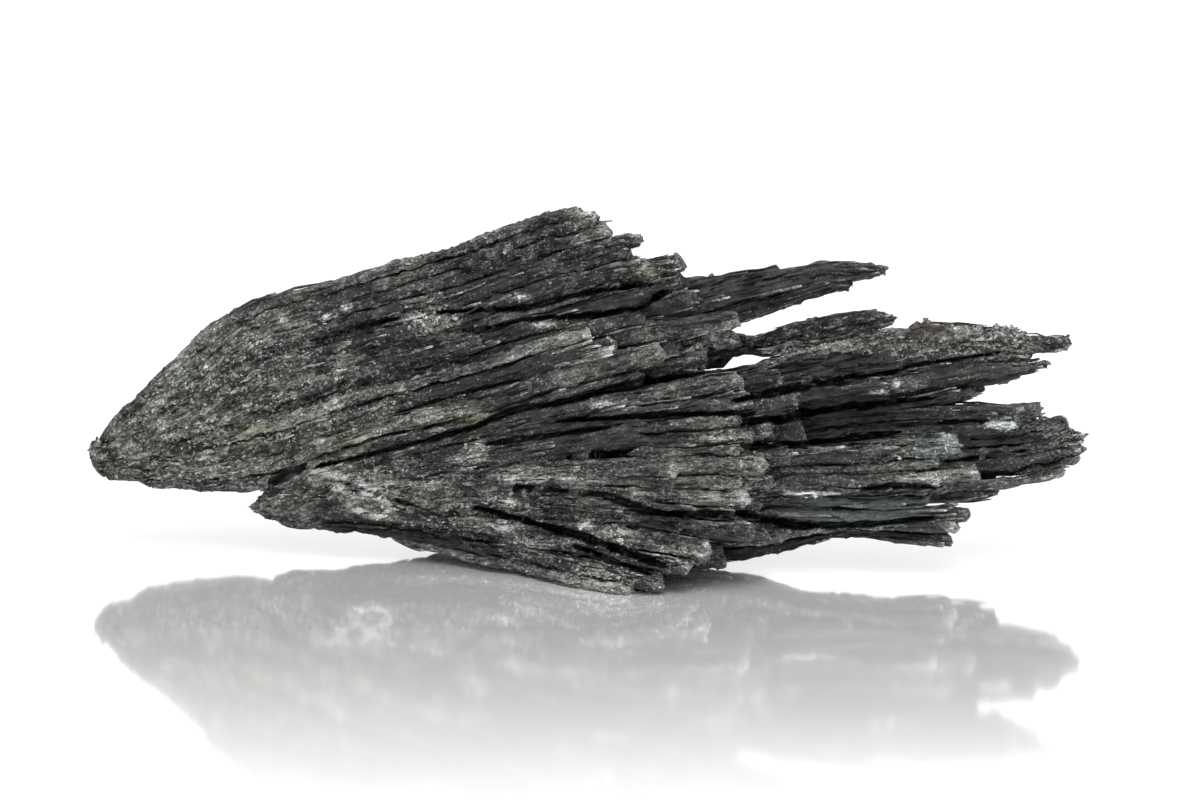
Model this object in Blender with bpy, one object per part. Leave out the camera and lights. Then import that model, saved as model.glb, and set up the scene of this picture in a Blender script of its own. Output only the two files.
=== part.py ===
"""Black kyanite fan: a loose specimen of flat black blades that grew outwards from one end.

The blades stand in sheaves. A sheaf is a spray of blades between a lower and an upper edge, in
layers from front to back around a solid heart. All sheaves grew into each other, so the specimen
is one solid. It lies on its lowest blades, with its broad face leaning back a little.
"""

import math
import random
from collections import namedtuple

import bmesh
import bpy
from mathutils import Matrix, Vector

# Lengths in the tables are in millimetres, and the finished mesh is in metres.
MM = 0.001

# The broad face leans back from upright by this angle.
LEAN = math.radians(15)

# The middle of the footprint, which becomes the origin.
CENTRE_X = -0.1
CENTRE_Y = 10.3

# A blade begins where its sheaf is wide enough to give it about this width, give or take.
ROOT_WIDTH = 0.75
ROOT_SHARES = (0.6, 1.3)
# The least length of a blade, in stations, and the greatest of its straight segments.
LEAST_STATIONS = 0.8
LONGEST_SEGMENT = 8.0
# How far a blade grows into its neighbours, as a share of its own width.
GROWN_IN = 0.12
# How much narrower the front face of a blade is than its back.
BEVEL = 0.14
# How far a blade may be rolled (radians), raised out of its layer (share of its thickness) and
# broken off out of square (share of its width).
MOST_ROLL = 0.16
MOST_LIFT = 0.16
MOST_SLANT = 0.4
HEART_SIDES = 10
HEART_WIDTH_SHARE = 0.97
HEART_THICK_SHARE = 0.86
GROUND_SIZE = 0.2

# A rib crosses its sheaf from the lower edge to the upper edge. x runs along the specimen, rise
# runs up its leaning face, and depth runs in behind that face. thick is measured along the depth.
Rib = namedtuple("Rib", "x0 rise0 depth0 x1 rise1 depth1 thick")

# behind is where the layer lies in its sheaf, 0 in front and 1 at the back, and share is its part
# of the sheaf's thickness. Each blade is (lower side, upper side, x of its end), with its sides
# between 0 on the sheaf's lower edge and 1 on its upper edge.
Layer = namedtuple("Layer", "behind share blades")

# heart is the x at which the sheaf's solid heart ends, or None for a sheaf that is blades alone.
Sheaf = namedtuple("Sheaf", "name ribs heart layers")

CROWN = Sheaf(
    "crown",
    [
        Rib(-40.9, 11.0, 12.6, -40.5, 12.9, 12.5, 2.0),
        Rib(-38.4, 9.2, 12.2, -38.2, 14.1, 11.2, 3.4),
        Rib(-31.5, 8.4, 11.0, -32.6, 19.0, 9.2, 5.6),
        Rib(-25.2, 8.8, 9.6, -27.6, 23.1, 7.4, 7.2),
        Rib(-17.5, 11.2, 6.8, -19.5, 25.5, 6.0, 8.6),
        Rib(-8.6, 13.4, 4.8, -11.0, 27.8, 5.0, 9.0),
        Rib(0.2, 15.9, 3.8, -3.8, 30.3, 4.2, 8.6),
        Rib(9.0, 17.8, 3.6, 5.0, 32.7, 4.2, 7.6),
        Rib(15.5, 19.3, 3.6, 12.0, 34.6, 4.2, 7.0),
    ],
    -1.0,
    [
        Layer(-0.07, 0.2, [
            (0.1, 0.17, -4.0), (0.3, 0.36, 0.6), (0.43, 0.5, -8.0), (0.61, 0.66, -0.5),
            (0.72, 0.78, -11.0), (0.86, 0.92, -6.0),
        ]),
        Layer(0.0, 0.34, [
            (0.0, 0.08, 4.5), (0.08, 0.19, 6.3), (0.19, 0.3, 2.3), (0.3, 0.4, 4.6), (0.4, 0.5, 5.0),
            (0.5, 0.58, 2.6), (0.58, 0.65, 4.8), (0.65, 0.74, 3.4), (0.73, 0.78, 4.3),
            (0.79, 0.87, 2.0), (0.87, 0.94, 1.0), (0.94, 1.0, -0.4),
        ]),
        Layer(0.36, 0.3, [
            (0.0, 0.1, 9.6), (0.1, 0.2, 7.6), (0.2, 0.31, 6.6), (0.33, 0.43, 8.9),
            (0.43, 0.55, 7.9), (0.54, 0.63, 7.5), (0.66, 0.78, 3.2), (0.8, 0.97, 0.0),
        ]),
        Layer(1.0, 0.36, [
            (0.0, 0.13, 6.0), (0.13, 0.27, 1.5), (0.27, 0.4, 4.8), (0.4, 0.52, -1.5),
            (0.52, 0.68, 2.6), (0.68, 0.82, -3.0), (0.82, 0.98, -0.5),
        ]),
    ],
)

INNER_CROWN = Sheaf(
    "inner crown",
    [
        Rib(-8.0, 16.0, 7.0, -9.0, 25.0, 7.0, 3.6),
        Rib(2.0, 17.2, 5.8, 0.5, 26.0, 6.0, 3.6),
        Rib(8.0, 18.4, 5.6, 7.0, 25.6, 6.0, 3.4),
        Rib(13.5, 20.0, 5.8, 12.6, 25.6, 6.0, 3.0),
    ],
    None,
    [
        Layer(0.0, 0.62, [(0.0, 0.22, 9.6), (0.3, 0.55, 12.2), (0.62, 0.84, 9.6)]),
        Layer(1.0, 0.6, [(0.0, 0.3, 8.0), (0.3, 0.62, 11.0), (0.62, 1.0, 10.4)]),
    ],
)

SPEAR = Sheaf(
    "spear",
    [
        Rib(-2.0, 18.6, 7.6, -3.0, 23.0, 7.6, 3.5),
        Rib(6.0, 20.3, 6.6, 5.0, 24.2, 6.6, 3.4),
        Rib(11.8, 21.7, 6.2, 11.0, 25.6, 6.2, 3.2),
        Rib(15.0, 22.8, 6.2, 14.2, 26.1, 6.2, 2.8),
        Rib(19.2, 24.1, 6.4, 18.4, 27.0, 6.4, 2.4),
        Rib(21.6, 24.5, 6.6, 21.2, 26.9, 6.6, 1.8),
        Rib(24.4, 25.8, 7.0, 24.3, 26.4, 7.0, 0.8),
    ],
    None,
    [Layer(0.5, 1.0, [(0.0, 0.4, 21.4), (0.36, 0.86, 24.3), (0.8, 1.0, 15.4)])],
)

SLIVERS = Sheaf(
    "slivers",
    [
        Rib(0.0, 15.6, 10.2, -1.0, 18.8, 10.2, 2.2),
        Rib(7.0, 17.5, 9.4, 6.0, 19.9, 9.4, 2.2),
        Rib(10.8, 18.6, 9.0, 10.4, 20.9, 9.0, 2.1),
        Rib(13.9, 19.2, 9.0, 13.6, 20.9, 9.0, 2.0),
        Rib(17.8, 19.4, 9.0, 17.4, 22.0, 9.0, 2.0),
        Rib(24.0, 20.9, 9.2, 23.3, 23.0, 9.2, 1.6),
        Rib(28.0, 22.1, 9.4, 27.5, 23.8, 9.4, 1.2),
    ],
    None,
    [Layer(0.5, 1.0, [(0.0, 0.4, 23.6), (0.34, 0.7, 25.2), (0.62, 1.0, 23.8)])],
)

UPPER_SPRAY = Sheaf(
    "upper spray",
    [
        Rib(-2.0, 11.6, 9.4, 0.0, 16.2, 9.4, 3.4),
        Rib(6.0, 12.8, 8.4, 7.0, 17.2, 8.4, 3.6),
        Rib(13.8, 13.9, 7.8, 13.6, 18.7, 7.8, 3.6),
        Rib(21.8, 14.3, 7.5, 20.5, 20.2, 7.5, 3.6),
        Rib(28.8, 15.4, 7.4, 28.0, 21.6, 7.4, 3.4),
        Rib(33.4, 16.6, 7.5, 33.2, 21.3, 7.5, 2.8),
        Rib(37.6, 17.5, 7.8, 38.2, 20.9, 7.8, 2.2),
        Rib(43.0, 18.8, 8.2, 43.0, 20.8, 8.2, 1.8),
    ],
    24.0,
    [
        Layer(0.0, 0.5, [
            (0.0, 0.13, 31.2), (0.11, 0.24, 35.2), (0.23, 0.42, 37.4), (0.42, 0.66, 35.9),
            (0.62, 0.89, 39.1), (0.86, 1.0, 35.3),
        ]),
        Layer(1.0, 0.5, [(0.02, 0.3, 32.0), (0.3, 0.55, 35.4), (0.55, 0.8, 33.0), (0.8, 0.98, 34.4)]),
    ],
)

FAR_SPRAY = Sheaf(
    "far spray",
    [
        Rib(-2.0, 9.0, 10.0, 0.0, 12.6, 10.0, 3.4),
        Rib(8.0, 8.2, 9.0, 8.0, 13.2, 9.0, 3.8),
        Rib(15.0, 7.6, 8.4, 15.0, 13.8, 8.4, 4.0),
        Rib(22.0, 7.4, 8.0, 22.0, 14.9, 8.0, 4.0),
        Rib(28.0, 7.5, 8.0, 29.0, 15.2, 8.0, 3.6),
        Rib(33.0, 7.9, 8.0, 34.0, 15.2, 8.0, 3.2),
        Rib(37.6, 8.8, 8.2, 38.0, 15.5, 8.2, 2.6),
        Rib(42.5, 10.6, 8.4, 42.5, 16.0, 8.4, 2.0),
    ],
    27.0,
    [
        Layer(0.0, 0.5, [
            (0.0, 0.08, 32.0), (0.08, 0.18, 38.4), (0.18, 0.28, 39.6), (0.28, 0.38, 40.3),
            (0.38, 0.46, 40.0), (0.45, 0.55, 40.4), (0.55, 0.65, 39.4), (0.65, 0.79, 38.8),
            (0.86, 1.0, 36.9),
        ]),
        Layer(1.0, 0.5, [
            (0.02, 0.22, 33.6), (0.22, 0.4, 37.0), (0.4, 0.6, 35.2), (0.6, 0.8, 36.6), (0.8, 0.98, 32.8),
        ]),
    ],
)

SHELF = Sheaf(
    "shelf",
    [
        Rib(2.0, 13.4, 5.8, 2.0, 15.2, 5.8, 2.6),
        Rib(13.2, 14.8, 5.4, 13.2, 16.3, 5.4, 2.6),
        Rib(19.0, 15.6, 5.4, 18.8, 17.2, 5.4, 2.6),
        Rib(25.0, 16.3, 5.6, 25.0, 17.5, 5.6, 2.4),
        Rib(29.0, 16.9, 5.8, 29.0, 18.0, 5.8, 2.2),
    ],
    None,
    [Layer(0.5, 1.0, [(0.0, 1.0, 24.9)])],
)

MIDDLE_SPRAY = Sheaf(
    "middle spray",
    [
        Rib(-8.0, 6.5, 7.4, -7.0, 12.4, 6.4, 4.0),
        Rib(1.0, 5.6, 5.4, 2.0, 12.0, 4.8, 4.6),
        Rib(9.0, 5.6, 4.4, 9.6, 11.6, 4.4, 4.8),
        Rib(16.0, 6.1, 4.2, 15.6, 11.8, 4.2, 4.6),
        Rib(22.0, 5.7, 4.2, 22.0, 12.3, 4.3, 4.4),
        Rib(27.4, 5.9, 4.4, 28.4, 12.9, 4.8, 4.0),
        Rib(34.0, 6.3, 5.0, 35.0, 13.4, 5.2, 3.6),
    ],
    19.0,
    [
        Layer(0.0, 0.5, [
            (0.0, 0.17, 25.6), (0.17, 0.3, 27.4), (0.3, 0.42, 28.4), (0.42, 0.6, 31.4),
            (0.6, 0.73, 28.4), (0.73, 0.88, 29.6), (0.88, 1.0, 29.0),
        ]),
        Layer(1.0, 0.5, [(0.05, 0.3, 23.0), (0.3, 0.55, 29.0), (0.55, 0.8, 25.4), (0.8, 0.98, 27.0)]),
    ],
)

LOW_SPRAY = Sheaf(
    "low spray",
    [
        Rib(-4.0, 3.6, 8.0, -4.0, 7.0, 7.0, 4.2),
        Rib(5.0, 3.0, 7.4, 5.0, 6.4, 6.4, 4.6),
        Rib(12.6, 2.9, 6.8, 12.6, 6.2, 5.4, 4.0),
        Rib(19.5, 4.6, 6.0, 19.5, 6.7, 5.0, 3.8),
        Rib(24.0, 4.3, 5.2, 24.0, 6.9, 4.8, 3.4),
        Rib(28.6, 3.8, 5.0, 29.5, 7.1, 4.8, 2.8),
        Rib(33.0, 3.4, 5.0, 34.0, 7.3, 5.0, 2.6),
    ],
    None,
    [
        Layer(0.0, 0.55, [(0.0, 0.34, 29.2), (0.34, 0.68, 29.8), (0.68, 1.0, 30.4)]),
        Layer(1.0, 0.6, [(0.35, 0.7, 27.0), (0.6, 0.95, 25.0)]),
    ],
)

APRON = Sheaf(
    "apron",
    [
        Rib(-27.5, 6.5, 10.6, -26.9, 7.4, 10.2, 1.6),
        Rib(-24.2, 5.3, 10.0, -23.4, 9.0, 8.6, 3.0),
        Rib(-18.6, 4.9, 9.4, -17.5, 11.2, 6.4, 4.2),
        Rib(-12.0, 3.6, 8.4, -10.5, 13.1, 4.6, 5.2),
        Rib(-5.4, 1.9, 5.6, -3.0, 15.0, 3.4, 6.0),
        Rib(2.2, 0.0, 1.0, 4.5, 16.6, 2.6, 6.0),
        Rib(9.0, -2.1, 0.2, 12.0, 18.0, 2.4, 5.6),
        Rib(15.0, -4.0, 0.0, 19.0, 19.4, 2.4, 5.4),
    ],
    1.0,
    [
        Layer(-0.08, 0.22, [(0.2, 0.27, 2.0), (0.38, 0.44, 3.4), (0.56, 0.64, 7.4), (0.74, 0.8, 4.6)]),
        Layer(0.0, 0.36, [
            (0.0, 0.07, 3.9), (0.07, 0.165, 5.9), (0.165, 0.24, 8.0), (0.24, 0.33, 9.8),
            (0.33, 0.41, 13.2), (0.41, 0.455, 11.6), (0.455, 0.52, 12.9), (0.52, 0.58, 12.4),
            (0.58, 0.66, 14.4), (0.66, 0.7, 12.4), (0.7, 0.76, 13.0), (0.76, 0.83, 12.2),
            (0.83, 0.91, 12.9), (0.91, 1.0, 12.4),
        ]),
        Layer(0.45, 0.36, [
            (0.22, 0.32, 10.8), (0.34, 0.4, 14.2), (0.44, 0.5, 14.0), (0.52, 0.58, 15.0),
            (0.62, 0.69, 16.2), (0.72, 0.78, 14.6), (0.8, 0.87, 16.8), (0.89, 0.97, 15.6),
        ]),
        Layer(1.0, 0.36, [
            (0.06, 0.24, 5.4), (0.24, 0.34, 9.0), (0.34, 0.5, 12.0), (0.5, 0.68, 15.0),
            (0.68, 0.84, 17.2),
        ]),
    ],
)

HEEL = Sheaf(
    "heel",
    [
        Rib(-17.0, 7.4, 10.4, -16.0, 11.0, 10.4, 3.0),
        Rib(-9.0, 5.2, 10.2, -8.0, 11.0, 10.4, 4.0),
        Rib(-1.0, 3.9, 10.0, 0.5, 11.0, 10.2, 5.2),
        Rib(6.0, 3.8, 10.0, 8.0, 11.6, 10.2, 5.4),
        Rib(14.0, 5.2, 9.6, 16.0, 12.4, 10.0, 4.4),
        Rib(23.0, 6.8, 9.4, 25.0, 13.0, 10.0, 3.4),
    ],
    9.0,
    [
        Layer(1.0, 0.5, [
            (0.0, 0.18, 8.2), (0.18, 0.36, 9.4), (0.36, 0.56, 12.6), (0.56, 0.78, 15.0),
            (0.78, 1.0, 18.0),
        ]),
        Layer(0.0, 0.5, [(0.0, 0.3, 8.0), (0.3, 0.7, 11.0), (0.7, 1.0, 16.4)]),
    ],
)

SHEAVES = [
    CROWN, INNER_CROWN, SPEAR, SLIVERS, UPPER_SPRAY, FAR_SPRAY, SHELF, MIDDLE_SPRAY, LOW_SPRAY,
    APRON, HEEL,
]

# A blade is a row of sections from its root to its end. along, across and inwards are the
# section's directions, width and thick its size.
Section = namedtuple("Section", "middle along across inwards width thick")


def rib_at(ribs, station):
    """The rib at a station: whole numbers are the listed ribs, and a smooth curve joins them."""
    i = min(int(station), len(ribs) - 2)
    t = station - i
    before, a, b, after = (ribs[min(max(k, 0), len(ribs) - 1)] for k in range(i - 1, i + 3))
    return Rib(*(
        0.5 * (2 * q + (r - p) * t + (2 * p - 5 * q + 4 * r - o) * t * t
               + (3 * q - p - 3 * r + o) * t * t * t)
        for p, q, r, o in zip(before, a, b, after)
    ))


def edges_at(ribs, station):
    """The points (x, rise, depth) on the sheaf's lower and upper edges at a station."""
    rib = rib_at(ribs, station)
    return Vector((rib.x0, rib.rise0, rib.depth0)), Vector((rib.x1, rib.rise1, rib.depth1))


# How many times the search for a station halves the sheaf.
HALVINGS = 20


def first_station(ribs, is_reached):
    """The first station from which is_reached holds, or the last station of all."""
    near, far = 0.0, len(ribs) - 1.0
    if is_reached(near):
        return near
    for _ in range(HALVINGS):
        middle = (near + far) / 2
        if is_reached(middle):
            far = middle
        else:
            near = middle
    return far


def station_of_x(ribs, side, x):
    """The station at which a line between the edges comes to x."""
    return first_station(ribs, lambda s: edges_at(ribs, s)[0].lerp(edges_at(ribs, s)[1], side).x >= x)


def station_of_width(ribs, width):
    """The station at which the sheaf is this wide."""
    return first_station(ribs, lambda s: (edges_at(ribs, s)[1] - edges_at(ribs, s)[0]).length >= width)


def sections(ribs, low, high, behind, share, start, end):
    """The sections of a blade between low and high on the ribs, from station start to end."""
    side = (low + high) / 2
    length = (
        edges_at(ribs, start)[0].lerp(edges_at(ribs, start)[1], side)
        - edges_at(ribs, end)[0].lerp(edges_at(ribs, end)[1], side)
    ).length
    count = max(1, math.ceil(length / LONGEST_SEGMENT))
    middles, widths, thicks, acrosses = [], [], [], []
    for k in range(count + 1):
        station = start + (end - start) * k / count
        lower, upper = edges_at(ribs, station)
        thick = rib_at(ribs, station).thick
        middle = lower.lerp(upper, side)
        middle.z += thick * (share / 2 + (1 - share) * behind)
        middles.append(middle)
        widths.append((high - low) * (upper - lower).length)
        thicks.append(share * thick)
        acrosses.append((upper - lower).normalized())
    row = []
    for k in range(count + 1):
        along = (middles[min(k + 1, count)] - middles[max(k - 1, 0)]).normalized()
        inwards = along.cross(acrosses[k]).normalized()
        row.append(Section(middles[k], along, inwards.cross(along), inwards, widths[k], thicks[k]))
    return row


def to_world(point):
    """Metres in the world for a point (x, rise, depth) of the leaning specimen."""
    x, rise, depth = point
    return MM * Vector((
        x - CENTRE_X,
        rise * math.sin(LEAN) + depth * math.cos(LEAN) - CENTRE_Y,
        rise * math.cos(LEAN) - depth * math.sin(LEAN),
    ))


def prism(sides, turn, section_count):
    """A prism one unit wide that stands on the origin, cut across so that it can bend."""
    bm = bmesh.new()
    bmesh.ops.create_cone(
        bm, cap_ends=True, segments=sides, radius1=0.5 / math.cos(turn), radius2=0.5 / math.cos(turn),
        depth=1.0, matrix=Matrix.Translation((0, 0, 0.5)) @ Matrix.Rotation(turn, 4, "Z"),
    )
    for k in range(1, section_count - 1):
        bmesh.ops.bisect_plane(
            bm, geom=bm.verts[:] + bm.edges[:] + bm.faces[:],
            plane_co=(0, 0, k / (section_count - 1)), plane_no=(0, 0, 1),
        )
    return bm


def bent_mesh(name, bm, row, place):
    """The prism with each of its sections put where place says."""
    for vert in bm.verts:
        k = round(vert.co.z * (len(row) - 1))
        vert.co = to_world(place(k, row[k], vert.co.x, vert.co.y))
    bmesh.ops.recalc_face_normals(bm, faces=bm.faces)
    mesh = bpy.data.meshes.new(name)
    bm.to_mesh(mesh)
    bm.free()
    return mesh


def heart_mesh(sheaf):
    """The solid heart of a sheaf."""
    end = station_of_x(sheaf.ribs, 0.5, sheaf.heart)
    row = sections(sheaf.ribs, 0.0, 1.0, 0.5, 1.0, 0.0, end)

    def place(k, section, x, y):
        return (
            section.middle
            + section.across * x * HEART_WIDTH_SHARE * section.width
            + section.inwards * y * HEART_THICK_SHARE * section.thick
        )

    return bent_mesh("heart_of_" + sheaf.name, prism(HEART_SIDES, 0.0, len(row)), row, place)


def blade_mesh(name, sheaf, layer, blade, dice):
    """One flat blade, a little rolled, bevelled towards its front and broken off at a slant."""
    low, high, end_x = blade
    grown_in = GROWN_IN * (high - low)
    root_width = dice.uniform(*ROOT_SHARES) * ROOT_WIDTH
    start = station_of_width(sheaf.ribs, root_width / (high - low))
    end = station_of_x(sheaf.ribs, (low + high) / 2, end_x)
    row = sections(
        sheaf.ribs, max(low - grown_in, 0.0), min(high + grown_in, 1.0),
        layer.behind, layer.share, min(start, end - LEAST_STATIONS), end,
    )
    roll = Matrix.Rotation(dice.uniform(-MOST_ROLL, MOST_ROLL), 2)
    slant = dice.uniform(-MOST_SLANT, MOST_SLANT)
    lift = dice.uniform(-MOST_LIFT, MOST_LIFT)
    last = len(row) - 1

    def place(k, section, x, y):
        point = Vector((x * section.width * (1 + BEVEL * y), (y + lift) * section.thick))
        turned = roll @ point
        broken = slant * turned.x if k == last else 0.0
        return (
            section.middle
            + section.across * turned.x
            + section.inwards * turned.y
            + section.along * broken
        )

    return bent_mesh(name, prism(4, math.pi / 4, len(row)), row, place)


def helper(mesh, collection):
    """An object that shapes the specimen and isn't part of it."""
    made = bpy.data.objects.new(mesh.name, mesh)
    made.hide_render = True
    made.display_type = "WIRE"
    collection.objects.link(made)
    return made


def ground_mesh():
    """A block whose top is the plane that the specimen rests on."""
    bm = bmesh.new()
    bmesh.ops.create_cube(bm, size=GROUND_SIZE, matrix=Matrix.Translation((0, 0, -GROUND_SIZE / 2)))
    mesh = bpy.data.meshes.new("ground")
    bm.to_mesh(mesh)
    bm.free()
    return mesh


def kyanite():
    """Near-black stone with a dull silvery shine."""
    material = bpy.data.materials.new("kyanite")
    material.use_nodes = True
    shader = material.node_tree.nodes["Principled BSDF"]
    shader.inputs["Base Color"].default_value = (0.045, 0.047, 0.046, 1)
    shader.inputs["Roughness"].default_value = 0.45
    shader.inputs["Metallic"].default_value = 0.0
    return material


def shell_of(vert):
    """All vertices that this one is joined to by edges."""
    shell, waiting = {vert}, [vert]
    while waiting:
        for edge in waiting.pop().link_edges:
            for other in edge.verts:
                if other not in shell:
                    shell.add(other)
                    waiting.append(other)
    return shell


def fill_hollows(fan):
    """Applies the modifiers and drops the walls of hollows that the blades closed between them."""
    graph = bpy.context.evaluated_depsgraph_get()
    mesh = bpy.data.meshes.new_from_object(fan.evaluated_get(graph))
    bm = bmesh.new()
    bm.from_mesh(mesh)
    outer = shell_of(max(bm.verts, key=lambda vert: vert.co.x))
    bmesh.ops.delete(bm, geom=[vert for vert in bm.verts if vert not in outer], context="VERTS")
    bm.to_mesh(mesh)
    bm.free()
    fan.modifiers.clear()
    fan.data = mesh


def new_collection(name):
    made = bpy.data.collections.new(name)
    bpy.context.scene.collection.children.link(made)
    return made


def main():
    for old in list(bpy.data.objects):
        bpy.data.objects.remove(old)
    dice = random.Random(7)
    specimen = new_collection("black_kyanite_fan")
    growth = new_collection("growth")
    cutters = new_collection("cutters")

    for sheaf in SHEAVES[1:]:
        if sheaf.heart is not None:
            helper(heart_mesh(sheaf), growth)
    for sheaf in SHEAVES:
        for layer in sheaf.layers:
            for blade in layer.blades:
                helper(blade_mesh("blade", sheaf, layer, blade, dice), growth)

    fan = bpy.data.objects.new("kyanite_fan", heart_mesh(CROWN))
    fan.data.materials.append(kyanite())
    specimen.objects.link(fan)
    grown = fan.modifiers.new("grown_together", "BOOLEAN")
    grown.operation = "UNION"
    grown.operand_type = "COLLECTION"
    grown.collection = growth
    rest = fan.modifiers.new("lies_on_the_ground", "BOOLEAN")
    rest.operation = "DIFFERENCE"
    rest.object = helper(ground_mesh(), cutters)
    fill_hollows(fan)


main()
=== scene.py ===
import itertools
import math
import random
from collections import namedtuple

import bpy
import numpy as np
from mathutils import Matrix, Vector
from mathutils.bvhtree import BVHTree


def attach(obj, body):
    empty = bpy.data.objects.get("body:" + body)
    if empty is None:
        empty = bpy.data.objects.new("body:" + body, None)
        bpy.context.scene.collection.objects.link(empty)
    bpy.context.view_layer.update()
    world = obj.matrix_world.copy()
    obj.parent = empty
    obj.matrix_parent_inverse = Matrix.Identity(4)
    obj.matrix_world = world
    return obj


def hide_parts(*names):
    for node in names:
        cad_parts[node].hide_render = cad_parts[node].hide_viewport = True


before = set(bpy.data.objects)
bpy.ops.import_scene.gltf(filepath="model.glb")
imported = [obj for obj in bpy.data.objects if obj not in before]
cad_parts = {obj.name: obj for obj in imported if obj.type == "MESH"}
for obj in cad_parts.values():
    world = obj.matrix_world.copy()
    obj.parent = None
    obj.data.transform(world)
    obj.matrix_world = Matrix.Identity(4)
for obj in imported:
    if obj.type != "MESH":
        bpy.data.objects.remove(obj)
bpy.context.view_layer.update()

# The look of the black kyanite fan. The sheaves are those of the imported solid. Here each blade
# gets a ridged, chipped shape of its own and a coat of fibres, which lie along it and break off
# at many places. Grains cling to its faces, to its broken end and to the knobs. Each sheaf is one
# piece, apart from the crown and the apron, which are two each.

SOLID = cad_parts["kyanite_fan"]

# Lengths in the tables are in millimetres, and the finished mesh is in metres.
MM = 0.001

# The broad face leans back from upright by this angle.
LEAN = math.radians(15)

# The middle of the footprint, which becomes the origin.
CENTRE_X = -0.1
CENTRE_Y = 10.3

# A blade begins where its sheaf gives it this width, times a share, or it has its least length.
ROOT_WIDTH = 0.75
ROOT_SHARES = (0.6, 1.3)
LEAST_LENGTH = 5.0
# How much narrower the front face of a blade is than its back.
BEVEL = 0.14
# How far a blade may be rolled (radians), raised out of its layer (share of its thickness) and
# broken off out of square (share of its width).
MOST_ROLL = 0.16
MOST_LIFT = 0.16
MOST_SLANT = 0.4

# x runs along the specimen, rise runs up its leaning face, and depth runs in behind that face.
# A sheaf's ribs cross it: each is (x, rise, depth) on its lower edge, then the same on its upper
# edge, then its thickness along the depth. heart is the x at which the sheaf's solid heart ends,
# or None for a sheaf that is blades alone.
Sheaf = namedtuple("Sheaf", "name heart ribs layers")

# behind is where the layer lies in its sheaf, 0 in front and 1 at the back, and share is its part
# of the sheaf's thickness. Each blade is (lower side, upper side, x of its end), with its sides
# between 0 on the sheaf's lower edge and 1 on its upper edge.
Layer = namedtuple("Layer", "behind share blades")

CROWN = Sheaf(
    "crown", -1,
    [
        (-40.9, 11, 12.6, -40.5, 12.9, 12.5, 2), (-38.4, 9.2, 12.2, -38.2, 14.1, 11.2, 3.4),
        (-31.5, 8.4, 11, -32.6, 19, 9.2, 5.6), (-25.2, 8.8, 9.6, -27.6, 23.1, 7.4, 7.2),
        (-17.5, 11.2, 6.8, -19.5, 25.5, 6, 8.6), (-8.6, 13.4, 4.8, -11, 27.8, 5, 9),
        (0.2, 15.9, 3.8, -3.8, 30.3, 4.2, 8.6), (9, 17.8, 3.6, 5, 32.7, 4.2, 7.6),
        (15.5, 19.3, 3.6, 12, 34.6, 4.2, 7),
    ],
    [
        Layer(-0.07, 0.2, [
            (0.1, 0.17, -4), (0.3, 0.36, 0.6), (0.43, 0.5, -8), (0.61, 0.66, -0.5), (0.72, 0.78, -11),
            (0.86, 0.92, -6),
        ]),
        Layer(0, 0.34, [
            (0, 0.08, 4.5), (0.08, 0.19, 6.3), (0.19, 0.3, 2.3), (0.3, 0.4, 4.6), (0.4, 0.5, 5),
            (0.5, 0.58, 2.6), (0.58, 0.65, 4.8), (0.65, 0.74, 3.4), (0.73, 0.78, 4.3), (0.79, 0.87, 2),
            (0.87, 0.94, 1), (0.94, 1, -0.4),
        ]),
        Layer(0.36, 0.3, [
            (0, 0.1, 9.6), (0.1, 0.2, 7.6), (0.2, 0.31, 6.6), (0.33, 0.43, 8.9), (0.43, 0.55, 7.9),
            (0.54, 0.63, 7.5), (0.66, 0.78, 3.2), (0.8, 0.97, 0),
        ]),
        Layer(1, 0.36, [
            (0, 0.13, 6), (0.13, 0.27, 1.5), (0.27, 0.4, 4.8), (0.4, 0.52, -1.5), (0.52, 0.68, 2.6),
            (0.68, 0.82, -3), (0.82, 0.98, -0.5),
        ]),
    ],
)

INNER_CROWN = Sheaf(
    "inner crown", None,
    [
        (-8, 16, 7, -9, 25, 7, 3.6), (2, 17.2, 5.8, 0.5, 26, 6, 3.6), (8, 18.4, 5.6, 7, 25.6, 6, 3.4),
        (13.5, 20, 5.8, 12.6, 25.6, 6, 3),
    ],
    [
        Layer(0, 0.62, [(0, 0.22, 9.6), (0.3, 0.55, 12.2), (0.62, 0.84, 9.6)]),
        Layer(1, 0.6, [(0, 0.3, 8), (0.3, 0.62, 11), (0.62, 1, 10.4)]),
    ],
)

SPEAR = Sheaf(
    "spear", None,
    [
        (-2, 18.6, 7.6, -3, 23, 7.6, 3.5), (6, 20.3, 6.6, 5, 24.2, 6.6, 3.4),
        (11.8, 21.7, 6.2, 11, 25.6, 6.2, 3.2), (15, 22.8, 6.2, 14.2, 26.1, 6.2, 2.8),
        (19.2, 24.1, 6.4, 18.4, 27, 6.4, 2.4), (21.6, 24.5, 6.6, 21.2, 26.9, 6.6, 1.8),
        (24.4, 25.8, 7, 24.3, 26.4, 7, 0.8),
    ],
    [
        Layer(0.5, 1, [(0, 0.4, 21.4), (0.36, 0.86, 24.3), (0.8, 1, 15.4)]),
    ],
)

SLIVERS = Sheaf(
    "slivers", None,
    [
        (0, 15.6, 10.2, -1, 18.8, 10.2, 2.2), (7, 17.5, 9.4, 6, 19.9, 9.4, 2.2),
        (10.8, 18.6, 9, 10.4, 20.9, 9, 2.1), (13.9, 19.2, 9, 13.6, 20.9, 9, 2),
        (17.8, 19.4, 9, 17.4, 22, 9, 2), (24, 20.9, 9.2, 23.3, 23, 9.2, 1.6),
        (28, 22.1, 9.4, 27.5, 23.8, 9.4, 1.2),
    ],
    [
        Layer(0.5, 1, [(0, 0.4, 23.6), (0.34, 0.7, 25.2), (0.62, 1, 23.8)]),
    ],
)

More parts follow.
